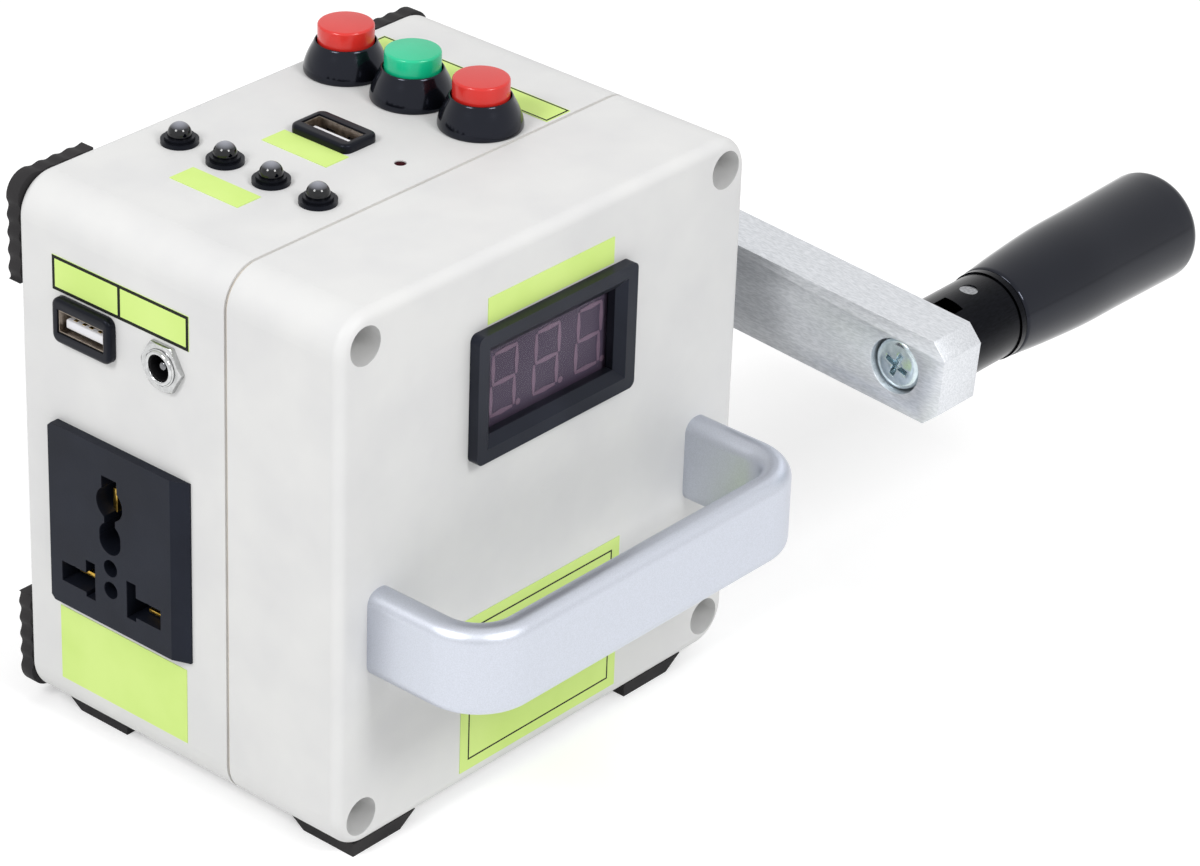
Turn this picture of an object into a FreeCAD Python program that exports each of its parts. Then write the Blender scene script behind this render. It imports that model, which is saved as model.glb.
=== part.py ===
import FreeCAD, Part
import math
import os
import Sketcher
from types import SimpleNamespace

# Hand crank generator: a pale two-shell casing with its sockets, meter, buttons and lamps, the gear train and
# generator inside it, and the crank with its folding grip on the right.
#
# Construction frame: x from the casing's left side, y from its front face, z from its underside, millimetres.
# Every finished piece is then moved so that the frame's origin is the middle of the whole object's box, at the
# floor.

os.makedirs("parts", exist_ok=True)
doc = FreeCAD.newDocument("hand_crank_generator")
V = FreeCAD.Vector

SIZES = {
    # casing
    "case_width": 122.0, "case_depth": 90.0, "case_height": 122.0, "case_round": 8.5,
    "face_round": 2.5, "back_round": 2.0, "wall": 3.0, "housing_depth": 58.7, "gasket": 0.8,
    "gasket_inset": 0.6, "fit_gap": 0.05, "boss_inset": 7.0, "boss_radius": 5.6, "well_radius": 4.25,
    "well_floor": 9.5, "cover_screw_radius": 2.0, "cover_screw_head": 3.6, "cover_screw_head_depth": 2.6,
    "cover_screw_grip": 20.0,
    # rubber pads and feet
    "pad_width": 21.4, "pad_height": 24.0, "pad_depth": 3.5, "pad_inset": 0.4, "pad_round": 5.0, "foot_height": 3.0,
    "foot_sole": 14.0, "foot_flare": 4.5, "foot_left": 6.0, "foot_right_margin": 17.5,
    "foot_front": 1.2, "foot_rear_margin": 9.0,
    # carry handle
    "handle_shift": 0.6, "handle_margin": 8.8, "handle_reach": 30.8, "handle_width": 19.7,
    "handle_thickness": 6.8, "handle_base": 39.5, "handle_bend": 14.0, "handle_edge": 3.0,
    "handle_screw_radius": 2.0, "handle_screw_head": 3.6, "handle_screw_depth": 12.0,
    # voltmeter
    "meter_top_margin": 16.1, "meter_width": 48.0, "meter_height": 29.0, "meter_proud": 2.55,
    "meter_rim": 3.0, "meter_slope": 2.1, "meter_slope_depth": 1.7, "meter_lip": 1.0,
    "meter_sleeve_inset": 1.6, "meter_sleeve_wall": 1.2, "meter_body_depth": 14.0, "meter_window": 0.8,
    "meter_digits_gap": 0.3, "meter_digits_depth": 6.0,
    "meter_digits_inset": 4.0, "meter_round": 1.6,
    # mains outlet
    "outlet_rear_margin": 5.9, "outlet_base": 28.9, "outlet_width": 43.2, "outlet_height": 42.2,
    "outlet_proud": 2.1, "outlet_edge": 0.5, "outlet_bevel": 4.0, "outlet_body_inset": 2.6,
    "outlet_body_depth": 22.0, "outlet_pocket": 12.0, "outlet_round": 1.2,
    # barrel jack
    "jack_from_seam": 15.9, "jack_drop": 26.5, "jack_radius": 4.0, "jack_proud": 3.5, "jack_depth": 13.0,
    "jack_hole": 2.8, "jack_hole_depth": 9.1, "jack_pin": 1.05, "jack_shoulder": 1.5,
    "jack_nut_flats": 11.0, "jack_nut_height": 2.0,
    # usb sockets
    "usb_width": 13.2, "usb_height": 5.2, "usb_depth": 12.0, "usb_skin": 0.35, "usb_tongue": 2.0,
    "usb_tongue_width": 11.0, "usb_tongue_setback": 1.0, "usb_tongue_shift": 0.7, "usb_proud": 2.0, "usb_sleeve": 1.0, "usb_sleeve_depth": 6.0,
    "usb_corner": 1.5, "side_usb_from_rear": 19.9, "side_usb_drop": 26.6, "side_usb_length": 16.7,
    "side_usb_breadth": 10.2, "top_usb_from_right": 63.0, "top_usb_from_rear": 31.55,
    "top_usb_length": 16.3, "top_usb_breadth": 10.0,
    # lamps
    "lamp_x": 34.8, "lamp_from_seam": 8.2, "lamp_pitch": 13.05, "lamp_radius": 2.5, "lamp_height": 4.6,
    "lamp_collar": 4.0, "lamp_collar_height": 1.0, "lamp_lip": 3.2, "lamp_lip_height": 1.7,
    "lamp_barrel": 3.1, "lamp_barrel_depth": 5.0, "lamp_leg": 0.5, "pilot_shift": 0.5,
    "pilot_from_seam": 8.9, "pilot_radius": 1.25, "pilot_recess": 0.4,
    # push buttons
    "button_from_right": 37.7, "button_from_seam": 9.5, "button_pitch": 19.2, "bezel_radius": 9.0,
    "bezel_height": 7.0, "bezel_rim": 7.1, "bezel_band": 1.2, "bezel_waist": 8.3,
    "bezel_waist_height": 3.85, "bezel_hip": 8.85, "bezel_hip_height": 1.92, "bezel_floor": 0.4, "cap_radius": 6.05,
    "cap_top": 10.9, "cap_skirt": 3.6, "cap_wall": 1.5, "cap_crown": 2.2, "cap_edge": 0.9,
    "button_travel": 2.5, "barrel_radius": 6.0, "barrel_depth": 13.0, "barrel_wall": 1.5,
    "stem_radius": 1.5, "stem_clear": 0.5,
    "spring_radius": 3.0, "spring_wire": 0.35, "spring_turns": 5.0, "spring_clear": 0.15, "button_nut_flats": 14.0,
    "button_nut_height": 3.0, "contact_depth": 6.5,
    # top board
    "top_board_left": 28.0, "top_board_barrel_gap": 7.8, "top_board_from_seam": 3.7,
    "top_board_rear_gap": 3.0, "top_board_drop": 8.4, "board": 1.6, "post_radius": 2.0,
    "top_post_inset": 3.5,
    # gear train
    "crank_from_seam": 14.7, "crank_drop": 41.2, "crank_tilt": 3.9, "shaft_radius": 4.0,
    "drive_teeth": 60.0, "idler_pinion_teeth": 12.0, "idler_teeth": 48.0, "rotor_teeth": 12.0,
    "rotor_lean": 36.869897645844, "plate": 2.0, "plate_front": 7.0, "plate_rear_gap": 2.0,
    "plate_spacing": 18.5, "mount_post_length": 6.5, "plate_top_drop": 14.0, "outer_plate_base": 29.0,
    "inner_plate_base": 4.5, "slow_gear_inset": 2.5, "slow_gear_width": 6.0, "fast_gear_inset": 1.5,
    "fast_gear_width": 5.0, "hub_length": 1.0,
    "spacer_inset": 4.5, "spacer_radius": 3.0, "idler_shaft_radius": 2.5, "bush_wall": 2.0,
    "bush_flange": 1.0, "wall_bush_radius": 7.0, "wall_bush_flange": 9.0, "wall_bush_proud": 2.0,
    "mount_screw_radius": 2.0, "mount_screw_head": 3.8, "mount_lead": 10.0, "mount_rear_inset": 9.0,
    "mount_low_inset": 7.0, "mount_high_inset": 6.0, "mount_post_radius": 4.0,
    # generator
    "can_radius": 16.5, "can_floor_gap": 1.3, "can_length": 44.0, "can_wall": 1.5, "stator_inner": 11.0, "stator_length": 26.0,
    "rotor_radius": 10.4, "rotor_length": 24.0, "rotor_shaft_radius": 2.0, "can_nose": 4.0,
    # power board
    "power_outlet_gap": 4.0, "power_plate_gap": 3.0, "power_can_gap": 3.7, "power_top_drop": 24.0,
    "power_post": 5.0, "coil_inset": 4.0, "coil_gap": 3.0, "coil_height": 28.0, "coil_depth": 24.0,
    "capacitor_radius": 6.0, "capacitor_length": 20.0, "capacitor_from_right": 20.0,
    "capacitor_pitch": 15.0, "capacitor_drop": 2.5, "sink_from_right": 10.5, "sink_width": 8.0,
    "sink_base_inset": 5.0, "sink_top_inset": 10.0, "sink_depth": 20.0, "sink_slots": 5.0,
    # crank arm and folding grip
    "arm_gap": 10.0, "arm_thickness": 12.5, "arm_width": 20.0, "arm_hub_end": 10.0, "arm_tip": 12.4,
    "arm_chamfer": 3.5, "crank_radius": 80.3, "hub_screw_head": 6.5, "hub_screw_height": 2.6,
    "hub_screw_radius": 2.5, "hub_screw_depth": 14.0, "shoulder_radius": 6.0, "counterbore": 6.25,
    "counterbore_depth": 4.0, "grip_screw_head": 5.75, "grip_screw_height": 3.6, "grip_screw_radius": 3.0,
    "pin_reach": 11.3, "pin_radius": 2.0, "tongue_width": 12.0, "tongue_thickness": 9.0,
    "collar_radius": 9.65, "collar_length": 19.5, "seat_gap": 0.3, "notch_width": 5.0,
    "notch_length": 4.7, "notch_shift": 1.2, "ring_radius": 10.0, "ring_width": 1.0,
    "spindle_radius": 4.0, "spindle_length": 55.0, "spindle_bead": 4.6, "spindle_bead_width": 2.0,
    "spindle_bead_groove": 4.5, "spindle_tip": 1.0, "screw_pin_gap": 1.2, "screw_end_gap": 0.2,
    "grip_neck": 10.1, "grip_shoulder": 11.05, "grip_shoulder_at": 9.76, "grip_belly": 12.0,
    "grip_belly_at": 24.4, "grip_swell": 12.15, "grip_swell_at": 36.6, "grip_heel": 12.4,
    "grip_heel_at": 50.0, "grip_end": 12.6, "grip_length": 61.0, "grip_edge": 3.0,
}

sheet = doc.addObject("Spreadsheet::Sheet", "sizes")
for row, (alias, value) in enumerate(SIZES.items(), start=1):
    sheet.set(f"A{row}", str(value))
    sheet.setAlias(f"A{row}", alias)
doc.recompute()


class Size:
    """A length worked out from the sheet: its value, and the expression that an object is bound to."""

    def __init__(self, value, text):
        self.value = value
        self.text = text

    def __add__(self, other):
        return Size(self.value + size(other).value, f"({self.text} + {size(other).text})")

    def __sub__(self, other):
        return Size(self.value - size(other).value, f"({self.text} - {size(other).text})")

    def __mul__(self, other):
        return Size(self.value * size(other).value, f"({self.text} * {size(other).text})")

    def __truediv__(self, other):
        return Size(self.value / size(other).value, f"({self.text} / {size(other).text})")

    def __radd__(self, other):
        return size(other) + self

    def __rsub__(self, other):
        return size(other) - self

    def __rmul__(self, other):
        return size(other) * self

    def __neg__(self):
        return Size(-self.value, f"(-1 * {self.text})")


def size(thing):
    """A number becomes a Size that stays as it is."""
    return thing if isinstance(thing, Size) else Size(float(thing), repr(float(thing)))


def cosine(angle):
    return Size(math.cos(math.radians(angle.value)), f"cos({angle.text})")


def sine(angle):
    return Size(math.sin(math.radians(angle.value)), f"sin({angle.text})")


S = SimpleNamespace(**{alias: Size(value, "sizes." + alias) for alias, value in SIZES.items()})
ZERO = size(0)

# ---- derived places -------------------------------------------------------------------------------------

S.cover_depth = S.case_depth - S.housing_depth - S.gasket
S.well_depth = S.cover_depth - S.well_floor
REAR_START = S.cover_depth + S.gasket
TOP_INSIDE = S.case_height - S.wall
TOP_BOARD_Z = TOP_INSIDE - S.top_board_drop
# what stands on the casing keeps its distance from the nearest seam, edge or middle
S.foot_right = S.case_width - S.foot_right_margin - S.foot_sole
S.foot_rear = S.case_depth - S.foot_rear_margin - S.foot_sole
S.handle_middle = S.case_width / 2 - S.handle_shift
S.handle_length = S.case_width - 2 * S.handle_margin
S.meter_left = (S.case_width - S.meter_width) / 2
S.meter_base = S.case_height - S.meter_top_margin - S.meter_height
S.outlet_front = S.case_depth - S.outlet_rear_margin - S.outlet_width
S.jack_y = REAR_START + S.jack_from_seam
S.jack_z = S.case_height - S.jack_drop
S.side_usb_y = S.case_depth - S.side_usb_from_rear
S.side_usb_z = S.case_height - S.side_usb_drop
S.top_usb_x = S.case_width - S.top_usb_from_right
S.top_usb_y = S.case_depth - S.top_usb_from_rear
S.lamp_first_y = REAR_START + S.lamp_from_seam
S.pilot_x = S.top_usb_x + S.pilot_shift
S.pilot_y = REAR_START + S.pilot_from_seam
S.button_x = S.case_width - S.button_from_right
S.button_first_y = REAR_START + S.button_from_seam
S.top_board_right = S.button_x - S.barrel_radius - S.top_board_barrel_gap
S.top_board_front = REAR_START + S.top_board_from_seam
S.top_board_rear = S.case_depth - S.wall - S.top_board_rear_gap
S.top_post_x = S.top_board_right - S.top_post_inset
# the gear train hangs between the crank's bush and the generator on the floor
S.crank_y = REAR_START + S.crank_from_seam
S.crank_z = S.case_height - S.crank_drop
S.rotor_z = S.wall + S.can_radius + S.can_floor_gap
S.gear_module = (S.crank_z - S.rotor_z) / ((S.drive_teeth + S.idler_pinion_teeth) / 2
                                           + (S.idler_teeth + S.rotor_teeth) / 2 * cosine(S.rotor_lean))
S.plate_rear = S.case_depth - S.wall - S.plate_rear_gap
S.plate_top = S.case_height - S.plate_top_drop
S.outer_plate_x = S.case_width - S.wall - S.mount_post_length - S.plate
S.inner_plate_x = S.outer_plate_x - S.plate_spacing
S.slow_gear_x = S.outer_plate_x - S.slow_gear_inset - S.slow_gear_width
S.fast_gear_x = S.inner_plate_x + S.plate + S.fast_gear_inset
S.mount_first_y = S.crank_y - S.mount_lead
S.mount_second_y = S.plate_rear - S.mount_rear_inset
S.mount_low_z = S.outer_plate_base + S.mount_low_inset
S.mount_high_z = S.plate_top - S.mount_high_inset
# the power board fills the room between the outlet, the gearbox and the generator
S.power_left = S.outlet_body_depth + S.power_outlet_gap
S.power_right = S.inner_plate_x - S.power_plate_gap
S.power_base = S.rotor_z + S.can_radius + S.power_can_gap
S.power_top = S.case_height - S.power_top_drop
S.capacitor_x = S.power_right - S.capacitor_from_right
S.capacitor_base = (S.power_base + S.power_top) / 2 - S.capacitor_drop - S.capacitor_pitch
S.coil_left = S.power_left + S.coil_inset
S.coil_right = S.capacitor_x - S.capacitor_radius - S.coil_gap
S.coil_base = S.power_base + S.coil_inset
S.sink_left = S.power_right - S.sink_from_right
S.sink_base = S.power_base + S.sink_base_inset
S.sink_height = S.power_top - S.sink_top_inset - S.sink_base
# the crank
ARM_X = S.case_width + S.arm_gap
TONGUE_X = ARM_X + S.arm_thickness
PIN_X = TONGUE_X + S.pin_reach
GRIP_X = TONGUE_X + S.collar_length + S.ring_width + S.seat_gap
ARM_TIP_Y = (S.crank_y - (S.crank_radius + S.arm_tip) * cosine(S.crank_tilt)
             - (S.arm_width / 2 - S.arm_chamfer) * sine(S.crank_tilt))

ORIGIN = (
    (GRIP_X + S.grip_length - S.jack_proud) / 2,
    (ARM_TIP_Y + S.case_depth + S.pad_depth) / 2,
    -S.foot_height,
)

UPRIGHT = FreeCAD.Rotation()
ALONG = {
    "x": FreeCAD.Rotation(V(0, 1, 0), 90),
    "y": FreeCAD.Rotation(V(1, 0, 0), -90),
    "z": UPRIGHT,
}
parts = []


# ---- modelling helpers ----------------------------------------------------------------------------------

def bind(thing, **sizes):
    """Tie each named property of an object to its expression."""
    for name, length in sizes.items():
        thing.setExpression(name, size(length).text)


def locate(thing, x, y, z, turn=UPRIGHT):
    """Put an object at a bound place, turned as asked."""
    thing.Placement = FreeCAD.Placement(V(size(x).value, size(y).value, size(z).value), turn)
    for axis, length in zip("xyz", (x, y, z)):
        thing.setExpression("Placement.Base." + axis, size(length).text)


def box(x, y, z):
    """A block given by its low and high face along each axis."""
    block = doc.addObject("Part::Box", "block")
    bind(block, Length=x[1] - size(x[0]), Width=y[1] - size(y[0]), Height=z[1] - size(z[0]))
    locate(block, x[0], y[0], z[0])
    return block


def rod(axis, x, y, z, radius, length):
    """A cylinder that starts at the given point and runs along the axis."""
    cylinder = doc.addObject("Part::Cylinder", "rod")
    bind(cylinder, Radius=radius, Height=length)
    locate(cylinder, x, y, z, ALONG[axis])
    return cylinder


def hexagon(axis, x, y, z, flats, length):
    """A hexagonal prism of the given width across flats."""
    prism = doc.addObject("Part::Prism", "hexagon")
    prism.Polygon = 6
    bind(prism, Circumradius=flats / math.sqrt(3), Height=length)
    locate(prism, x, y, z, ALONG[axis])
    return prism


def cut(base, *tools):
    result = doc.addObject("Part::Cut", "cut")
    result.Base = base
    result.Tool = tools[0] if len(tools) == 1 else fuse(*tools)
    return result


def fuse(*pieces):
    if len(pieces) == 1:
        return group(*pieces)
    result = doc.addObject("Part::MultiFuse", "joined")
    result.Shapes = list(pieces)
    return result


def group(*pieces):
    result = doc.addObject("Part::Compound", "group")
    result.Links = list(pieces)
    return result


def corner_points(points):
    """Each point's place and the two tangent points of its rounding, all at their present values."""
    count = len(points)
    corners = []
    for i, (x, y, radius) in enumerate(points):
        here = V(size(x).value, size(y).value, 0)
        before = V(size(points[i - 1][0]).value, size(points[i - 1][1]).value, 0)
        after = V(size(points[(i + 1) % count][0]).value, size(points[(i + 1) % count][1]).value, 0)
        back = (before - here).normalize()
        ahead = (after - here).normalize()
        half = back.getAngle(ahead) / 2
        reach = size(radius).value / math.tan(half) if radius else 0
        middle = here + (back + ahead).normalize() * (size(radius).value / math.sin(half)) if radius else here
        corners.append((here, here + back * reach, here + ahead * reach, middle))
    return corners


def outline(sketch, points):
    """Draw a closed outline whose corners, and their roundings, are bound to the sheet.

    Each point is x, y and a corner radius, which is None for a sharp corner.
    """
    corners = corner_points(points)
    count = len(points)
    marks = []
    for i, (x, y, radius) in enumerate(points):
        mark = sketch.addGeometry(Part.Point(corners[i][0]), True)
        for kind, length in (("DistanceX", x), ("DistanceY", y)):
            index = sketch.addConstraint(Sketcher.Constraint(kind, -1, 1, mark, 1, size(length).value))
            sketch.renameConstraint(index, f"{kind}{i}")
            sketch.setExpression(f"Constraints.{kind}{i}", size(length).text)
        marks.append(mark)
    sides = []
    for i in range(count):
        start = corners[i][2]
        end = corners[(i + 1) % count][1]
        sides.append(sketch.addGeometry(Part.LineSegment(start, end), False))
    for i, (x, y, radius) in enumerate(points):
        side_in = sides[i - 1]
        side_out = sides[i]
        if radius is None:
            sketch.addConstraint(Sketcher.Constraint("Coincident", side_in, 2, marks[i], 1))
            sketch.addConstraint(Sketcher.Constraint("Coincident", side_out, 1, marks[i], 1))
            continue
        sketch.addConstraint(Sketcher.Constraint("PointOnObject", marks[i], 1, side_in))
        sketch.addConstraint(Sketcher.Constraint("PointOnObject", marks[i], 1, side_out))
        here, start, end, middle = corners[i]
        first = math.atan2(start.y - middle.y, start.x - middle.x)
        last = math.atan2(end.y - middle.y, end.x - middle.x)
        leftwards = (start - middle).cross(end - middle).z > 0
        circle = Part.Circle(middle, V(0, 0, 1), size(radius).value)
        arc = Part.ArcOfCircle(circle, first, last) if leftwards else Part.ArcOfCircle(circle, last, first)
        bend = sketch.addGeometry(arc, False)
        near, far = (1, 2) if leftwards else (2, 1)
        sketch.addConstraint(Sketcher.Constraint("Tangent", side_in, 2, bend, near))
        sketch.addConstraint(Sketcher.Constraint("Tangent", side_out, 1, bend, far))
        index = sketch.addConstraint(Sketcher.Constraint("Radius", bend, size(radius).value))
        sketch.renameConstraint(index, f"Round{i}")
        sketch.setExpression(f"Constraints.Round{i}", size(radius).text)
    return sketch


def rounded(low, high, radius):
    """The four corners of a rectangle with one corner radius."""
    return [(low[0], low[1], radius), (high[0], low[1], radius), (high[0], high[1], radius),
            (low[0], high[1], radius)]


def loose_sketch(points):
    return outline(doc.addObject("Sketcher::SketchObject", "profile"), points)


LAYING = {
    # an outline drawn as (y, z), (x, z) or (x, y) and carried along the remaining axis
    "x": FreeCAD.Rotation(V(0, 1, 0), V(0, 0, 1), V(1, 0, 0), "ZXY"),
    "y": FreeCAD.Rotation(V(1, 0, 0), V(0, 0, 1), V(0, -1, 0), "ZXY"),
    "z": UPRIGHT,
}


def prism(axis, start, end, points):
    """Carry an outline along an axis, from one place on it to another."""
    solid = doc.addObject("Part::Extrusion", "prism")
    solid.Base = loose_sketch(points)
    solid.DirMode = "Custom"
    solid.Dir = V(0, 0, -1) if axis == "y" else V(0, 0, 1)
    solid.Solid = True
    bind(solid, LengthFwd=end - size(start))
    place = {"x": (start, ZERO, ZERO), "y": (ZERO, start, ZERO), "z": (ZERO, ZERO, start)}[axis]
    locate(solid, *place, LAYING[axis])
    return solid


def turned(axis, x, y, z, points):
    """Turn a profile of (distance out, distance along, corner radius) about an axis through a point."""
    profile = loose_sketch(points)
    solid = doc.addObject("Part::Revolution", "turned")
    solid.Source = profile
    solid.Axis = V(0, 1, 0)
    solid.Base = V(0, 0, 0)
    solid.Angle = 360
    solid.Solid = True
    standing = FreeCAD.Rotation(V(1, 0, 0), 90)
    locate(solid, x, y, z, ALONG[axis].multiply(standing))
    return solid


def finish(label, shape, x=ZERO, y=ZERO, z=ZERO):
    """Name a finished piece and move it from the construction frame to the object's frame.

    A piece drawn about a point of its own is first taken to that point.
    """
    shape.Label = label
    locate(shape, x - ORIGIN[0], y - ORIGIN[1], z - ORIGIN[2])
    parts.append(shape)
    return shape


def finish_on_crank(label, shape):
    """Name a piece drawn about the crank axis, and hang it on that axis at the crank's tilt."""
    shape.Label = label
    tilt = FreeCAD.Rotation(V(1, 0, 0), S.crank_tilt.value)
    locate(shape, -ORIGIN[0], S.crank_y - ORIGIN[1], S.crank_z - ORIGIN[2], tilt)
    shape.setExpression("Placement.Rotation.Angle", S.crank_tilt.text)
    parts.append(shape)
    return shape


# ---- casing ---------------------------------------------------------------------------------------------

def case_outline(inset, corner=None):
    """The casing's outline seen from the front, drawn in by an inset; its corners keep the casing's round."""
    low = (size(inset), size(inset))
    high = (S.case_width - inset, S.case_height - inset)
    return rounded(low, high, S.case_round - inset if corner is None else corner)


def shell_block(name, start, end, edge_y, radius):
    """A solid block of the casing's outline, with the rim at one end softly rounded."""
    body = doc.addObject("PartDesign::Body", name)
    sketch = body.newObject("Sketcher::SketchObject", name + "_outline")
    plane = [item for item in body.Origin.OriginFeatures if item.Role == "XZ_Plane"][0]
    sketch.AttachmentSupport = (plane, "")
    sketch.MapMode = "FlatFace"
    sketch.setExpression("AttachmentOffset.Base.z", (-size(start)).text)
    outline(sketch, case_outline(ZERO))
    pad = body.newObject("PartDesign::Pad", name + "_pad")
    pad.Profile = sketch
    pad.Reversed = True
    bind(pad, Length=end - size(start))
    doc.recompute()
    rim = []
    for number, edge in enumerate(pad.Shape.Edges, start=1):
        if all(abs(vertex.Point.y - size(edge_y).value) < 1e-6 for vertex in edge.Vertexes):
            rim.append(f"Edge{number}")
    fillet = body.newObject("PartDesign::Fillet", name + "_rim")
    fillet.Base = (pad, rim)
    bind(fillet, Radius=radius)
    doc.recompute()
    return body


def boss_centres():
    for x in (S.boss_inset, S.case_width - S.boss_inset):
        for z in (S.boss_inset, S.case_height - S.boss_inset):
            yield x, z


def handle_centres():
    left = S.handle_middle - S.handle_length / 2 + S.handle_thickness / 2
    return [left, 2 * S.handle_middle - left], S.handle_base + S.handle_width / 2


def front_cover():
    block = shell_block("cover_block", ZERO, S.cover_depth, ZERO, S.face_round)
    hollow = prism("y", S.wall, S.cover_depth + 1, case_outline(S.wall))
    bosses = [rod("y", x, S.wall / 2, z, S.boss_radius, S.cover_depth - S.wall / 2)
              for x, z in boss_centres()]
    shell = fuse(cut(block, hollow), *bosses)
    tools = []
    for x, z in boss_centres():
        tools.append(rod("y", x, -1, z, S.well_radius, S.well_depth + 1))
        tools.append(rod("y", x, -1, z, S.cover_screw_radius + S.fit_gap, S.cover_depth + 2))
    feet, z = handle_centres()
    for x in feet:
        tools.append(rod("y", x, -1, z, S.handle_screw_radius + S.fit_gap, S.wall + 2))
    inset = S.meter_sleeve_inset - S.fit_gap
    tools.append(box((S.meter_left + inset, S.meter_left + S.meter_width - inset), (-1, S.wall + 1),
                     (S.meter_base + inset, S.meter_base + S.meter_height - inset)))
    return finish("front_cover", cut(shell, *tools))


def top_post_places():
    near_lamps = S.lamp_first_y + S.lamp_pitch / 2
    for y in (near_lamps, near_lamps + 2 * S.lamp_pitch):
        yield S.lamp_x, y
        yield S.top_post_x, y


def power_post_places():
    for x in (S.power_left + S.power_post, S.power_right - S.power_post):
        for z in (S.power_base + S.power_post, S.power_top - S.power_post):
            yield x, z


def gearbox_mounts():
    for y in (S.mount_first_y, S.mount_second_y):
        for z in (S.mount_low_z, S.mount_high_z):
            yield y, z


def power_board_y():
    return S.case_depth - S.wall - S.power_post - S.board


def button_places():
    return [S.button_first_y + S.button_pitch * number for number in range(3)]


def lamp_places():
    return [S.lamp_first_y + S.lamp_pitch * number for number in range(4)]


def usb_opening(socket):
    """Half sizes of a socket's opening, of its sleeve and of the hole that the sleeve fits."""
    half = (S.usb_width / 2, S.usb_height / 2)
    grow = {"shell": ZERO, "bezel": S.fit_gap, "sleeve": S.usb_sleeve, "wall": S.usb_sleeve + S.fit_gap}
    return half[0] + grow[socket], half[1] + grow[socket]


def rear_housing():
    block = shell_block("housing_block", REAR_START, S.case_depth, S.case_depth, S.back_round)
    hollow = prism("y", REAR_START - 1, S.case_depth - S.wall, case_outline(S.wall))
    added = [rod("y", x, REAR_START, z, S.boss_radius, S.case_depth - REAR_START - S.wall / 2)
             for x, z in boss_centres()]
    for x, y in top_post_places():
        added.append(rod("z", x, y, TOP_BOARD_Z, S.post_radius, S.top_board_drop + S.wall / 2))
    for x, z in power_post_places():
        added.append(rod("y", x, power_board_y() + S.board, z, S.post_radius, S.power_post + S.wall / 2))
    outer_face = S.outer_plate_x + S.plate
    for y, z in gearbox_mounts():
        added.append(rod("x", outer_face, y, z, S.mount_post_radius, S.case_width - S.wall / 2 - outer_face))
    shell = fuse(cut(block, hollow), *added)
    tools = []
    for x, z in boss_centres():
        tools.append(rod("y", x, REAR_START - 1, z, S.cover_screw_radius + S.fit_gap, S.cover_screw_grip))
    for y, z in gearbox_mounts():
        tools.append(rod("x", outer_face - 1, y, z, S.mount_screw_radius + S.fit_gap, S.case_width))
        tools.append(rod("x", S.case_width - S.wall / 2, y, z, S.mount_screw_head + S.fit_gap, S.wall))
    tools.append(rod("x", S.case_width - S.wall - 1, S.crank_y, S.crank_z, S.wall_bush_radius + S.fit_gap,
                     S.wall + 2))
    for y in button_places():
        tools.append(rod("z", S.button_x, y, TOP_INSIDE - 1, S.barrel_radius + S.fit_gap, S.wall + 2))
    for y in lamp_places():
        tools.append(rod("z", S.lamp_x, y, TOP_INSIDE - 1, S.lamp_barrel + S.fit_gap, S.wall + 2))
    tools.append(rod("z", S.pilot_x, S.pilot_y, TOP_INSIDE - 1, S.pilot_radius + S.fit_gap, S.wall + 2))
    length, breadth = usb_opening("wall")
    tools.append(box((S.top_usb_x - breadth, S.top_usb_x + breadth),
                     (S.top_usb_y - length, S.top_usb_y + length), (TOP_INSIDE - 1, S.case_height + 1)))
    tools.append(box((-1, S.wall + 1), (S.side_usb_y - length, S.side_usb_y + length),
                     (S.side_usb_z - breadth, S.side_usb_z + breadth)))
    tools.append(rod("x", -1, S.jack_y, S.jack_z, S.jack_radius + S.fit_gap, S.wall + 2))
    inset = S.outlet_body_inset - S.fit_gap
    tools.append(box((-1, S.wall + 1),
                     (S.outlet_front + inset, S.outlet_front + S.outlet_width - inset),
                     (S.outlet_base + inset, S.outlet_base + S.outlet_height - inset)))
    return finish("rear_housing", cut(shell, *tools))


def cover_gasket():
    ring = cut(prism("y", S.cover_depth, REAR_START, case_outline(S.gasket_inset)),
               prism("y", S.cover_depth - 1, REAR_START + 1, case_outline(S.wall)))
    return finish("cover_gasket", ring)


def cover_screws():
    screws = []
    for x, z in boss_centres():
        head = rod("y", x, S.well_depth - S.cover_screw_head_depth, z, S.cover_screw_head,
                   S.cover_screw_head_depth)
        shank = rod("y", x, S.well_depth - S.cover_screw_head_depth / 2, z, S.cover_screw_radius,
                    S.cover_screw_grip)
        screws.append(fuse(head, shank))
    return finish("cover_screws", group(*screws))


def rear_corner_pads():
    """Four rubber pads on the back wall, their corners squarer than the casing's."""
    pads = []
    start = S.case_depth
    end = S.case_depth + S.pad_depth
    for x in ((ZERO, S.pad_width), (S.case_width - S.pad_width, S.case_width)):
        for z in ((ZERO, S.pad_height), (S.case_height - S.pad_height, S.case_height)):
            corner = doc.addObject("Part::MultiCommon", "pad")
            corner.Shapes = [box(x, (start, end), z), prism("y", start, end, case_outline(S.pad_inset, S.pad_round))]
            pads.append(corner)
    return finish("rear_corner_pads", group(*pads))


def bottom_feet():
    """Four rubber feet, upright on two sides and flared out towards the casing on the other two."""
    feet = []
    for x in (S.foot_left, S.foot_right):
        for y in (S.foot_front, S.foot_rear):
            foot = doc.addObject("Part::Wedge", "foot")
            bind(foot, Xmin=ZERO, Xmax=S.foot_sole, X2min=ZERO, X2max=S.foot_sole + S.foot_flare,
                 Ymin=ZERO, Ymax=S.foot_height, Zmin=-S.foot_sole, Zmax=ZERO,
                 Z2min=-(S.foot_sole + S.foot_flare), Z2max=ZERO)
            locate(foot, x, y, -S.foot_height, FreeCAD.Rotation(V(1, 0, 0), 90))
            feet.append(foot)
    return finish("bottom_feet", group(*feet))


# ---- carry handle ---------------------------------------------------------------------------------------

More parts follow.
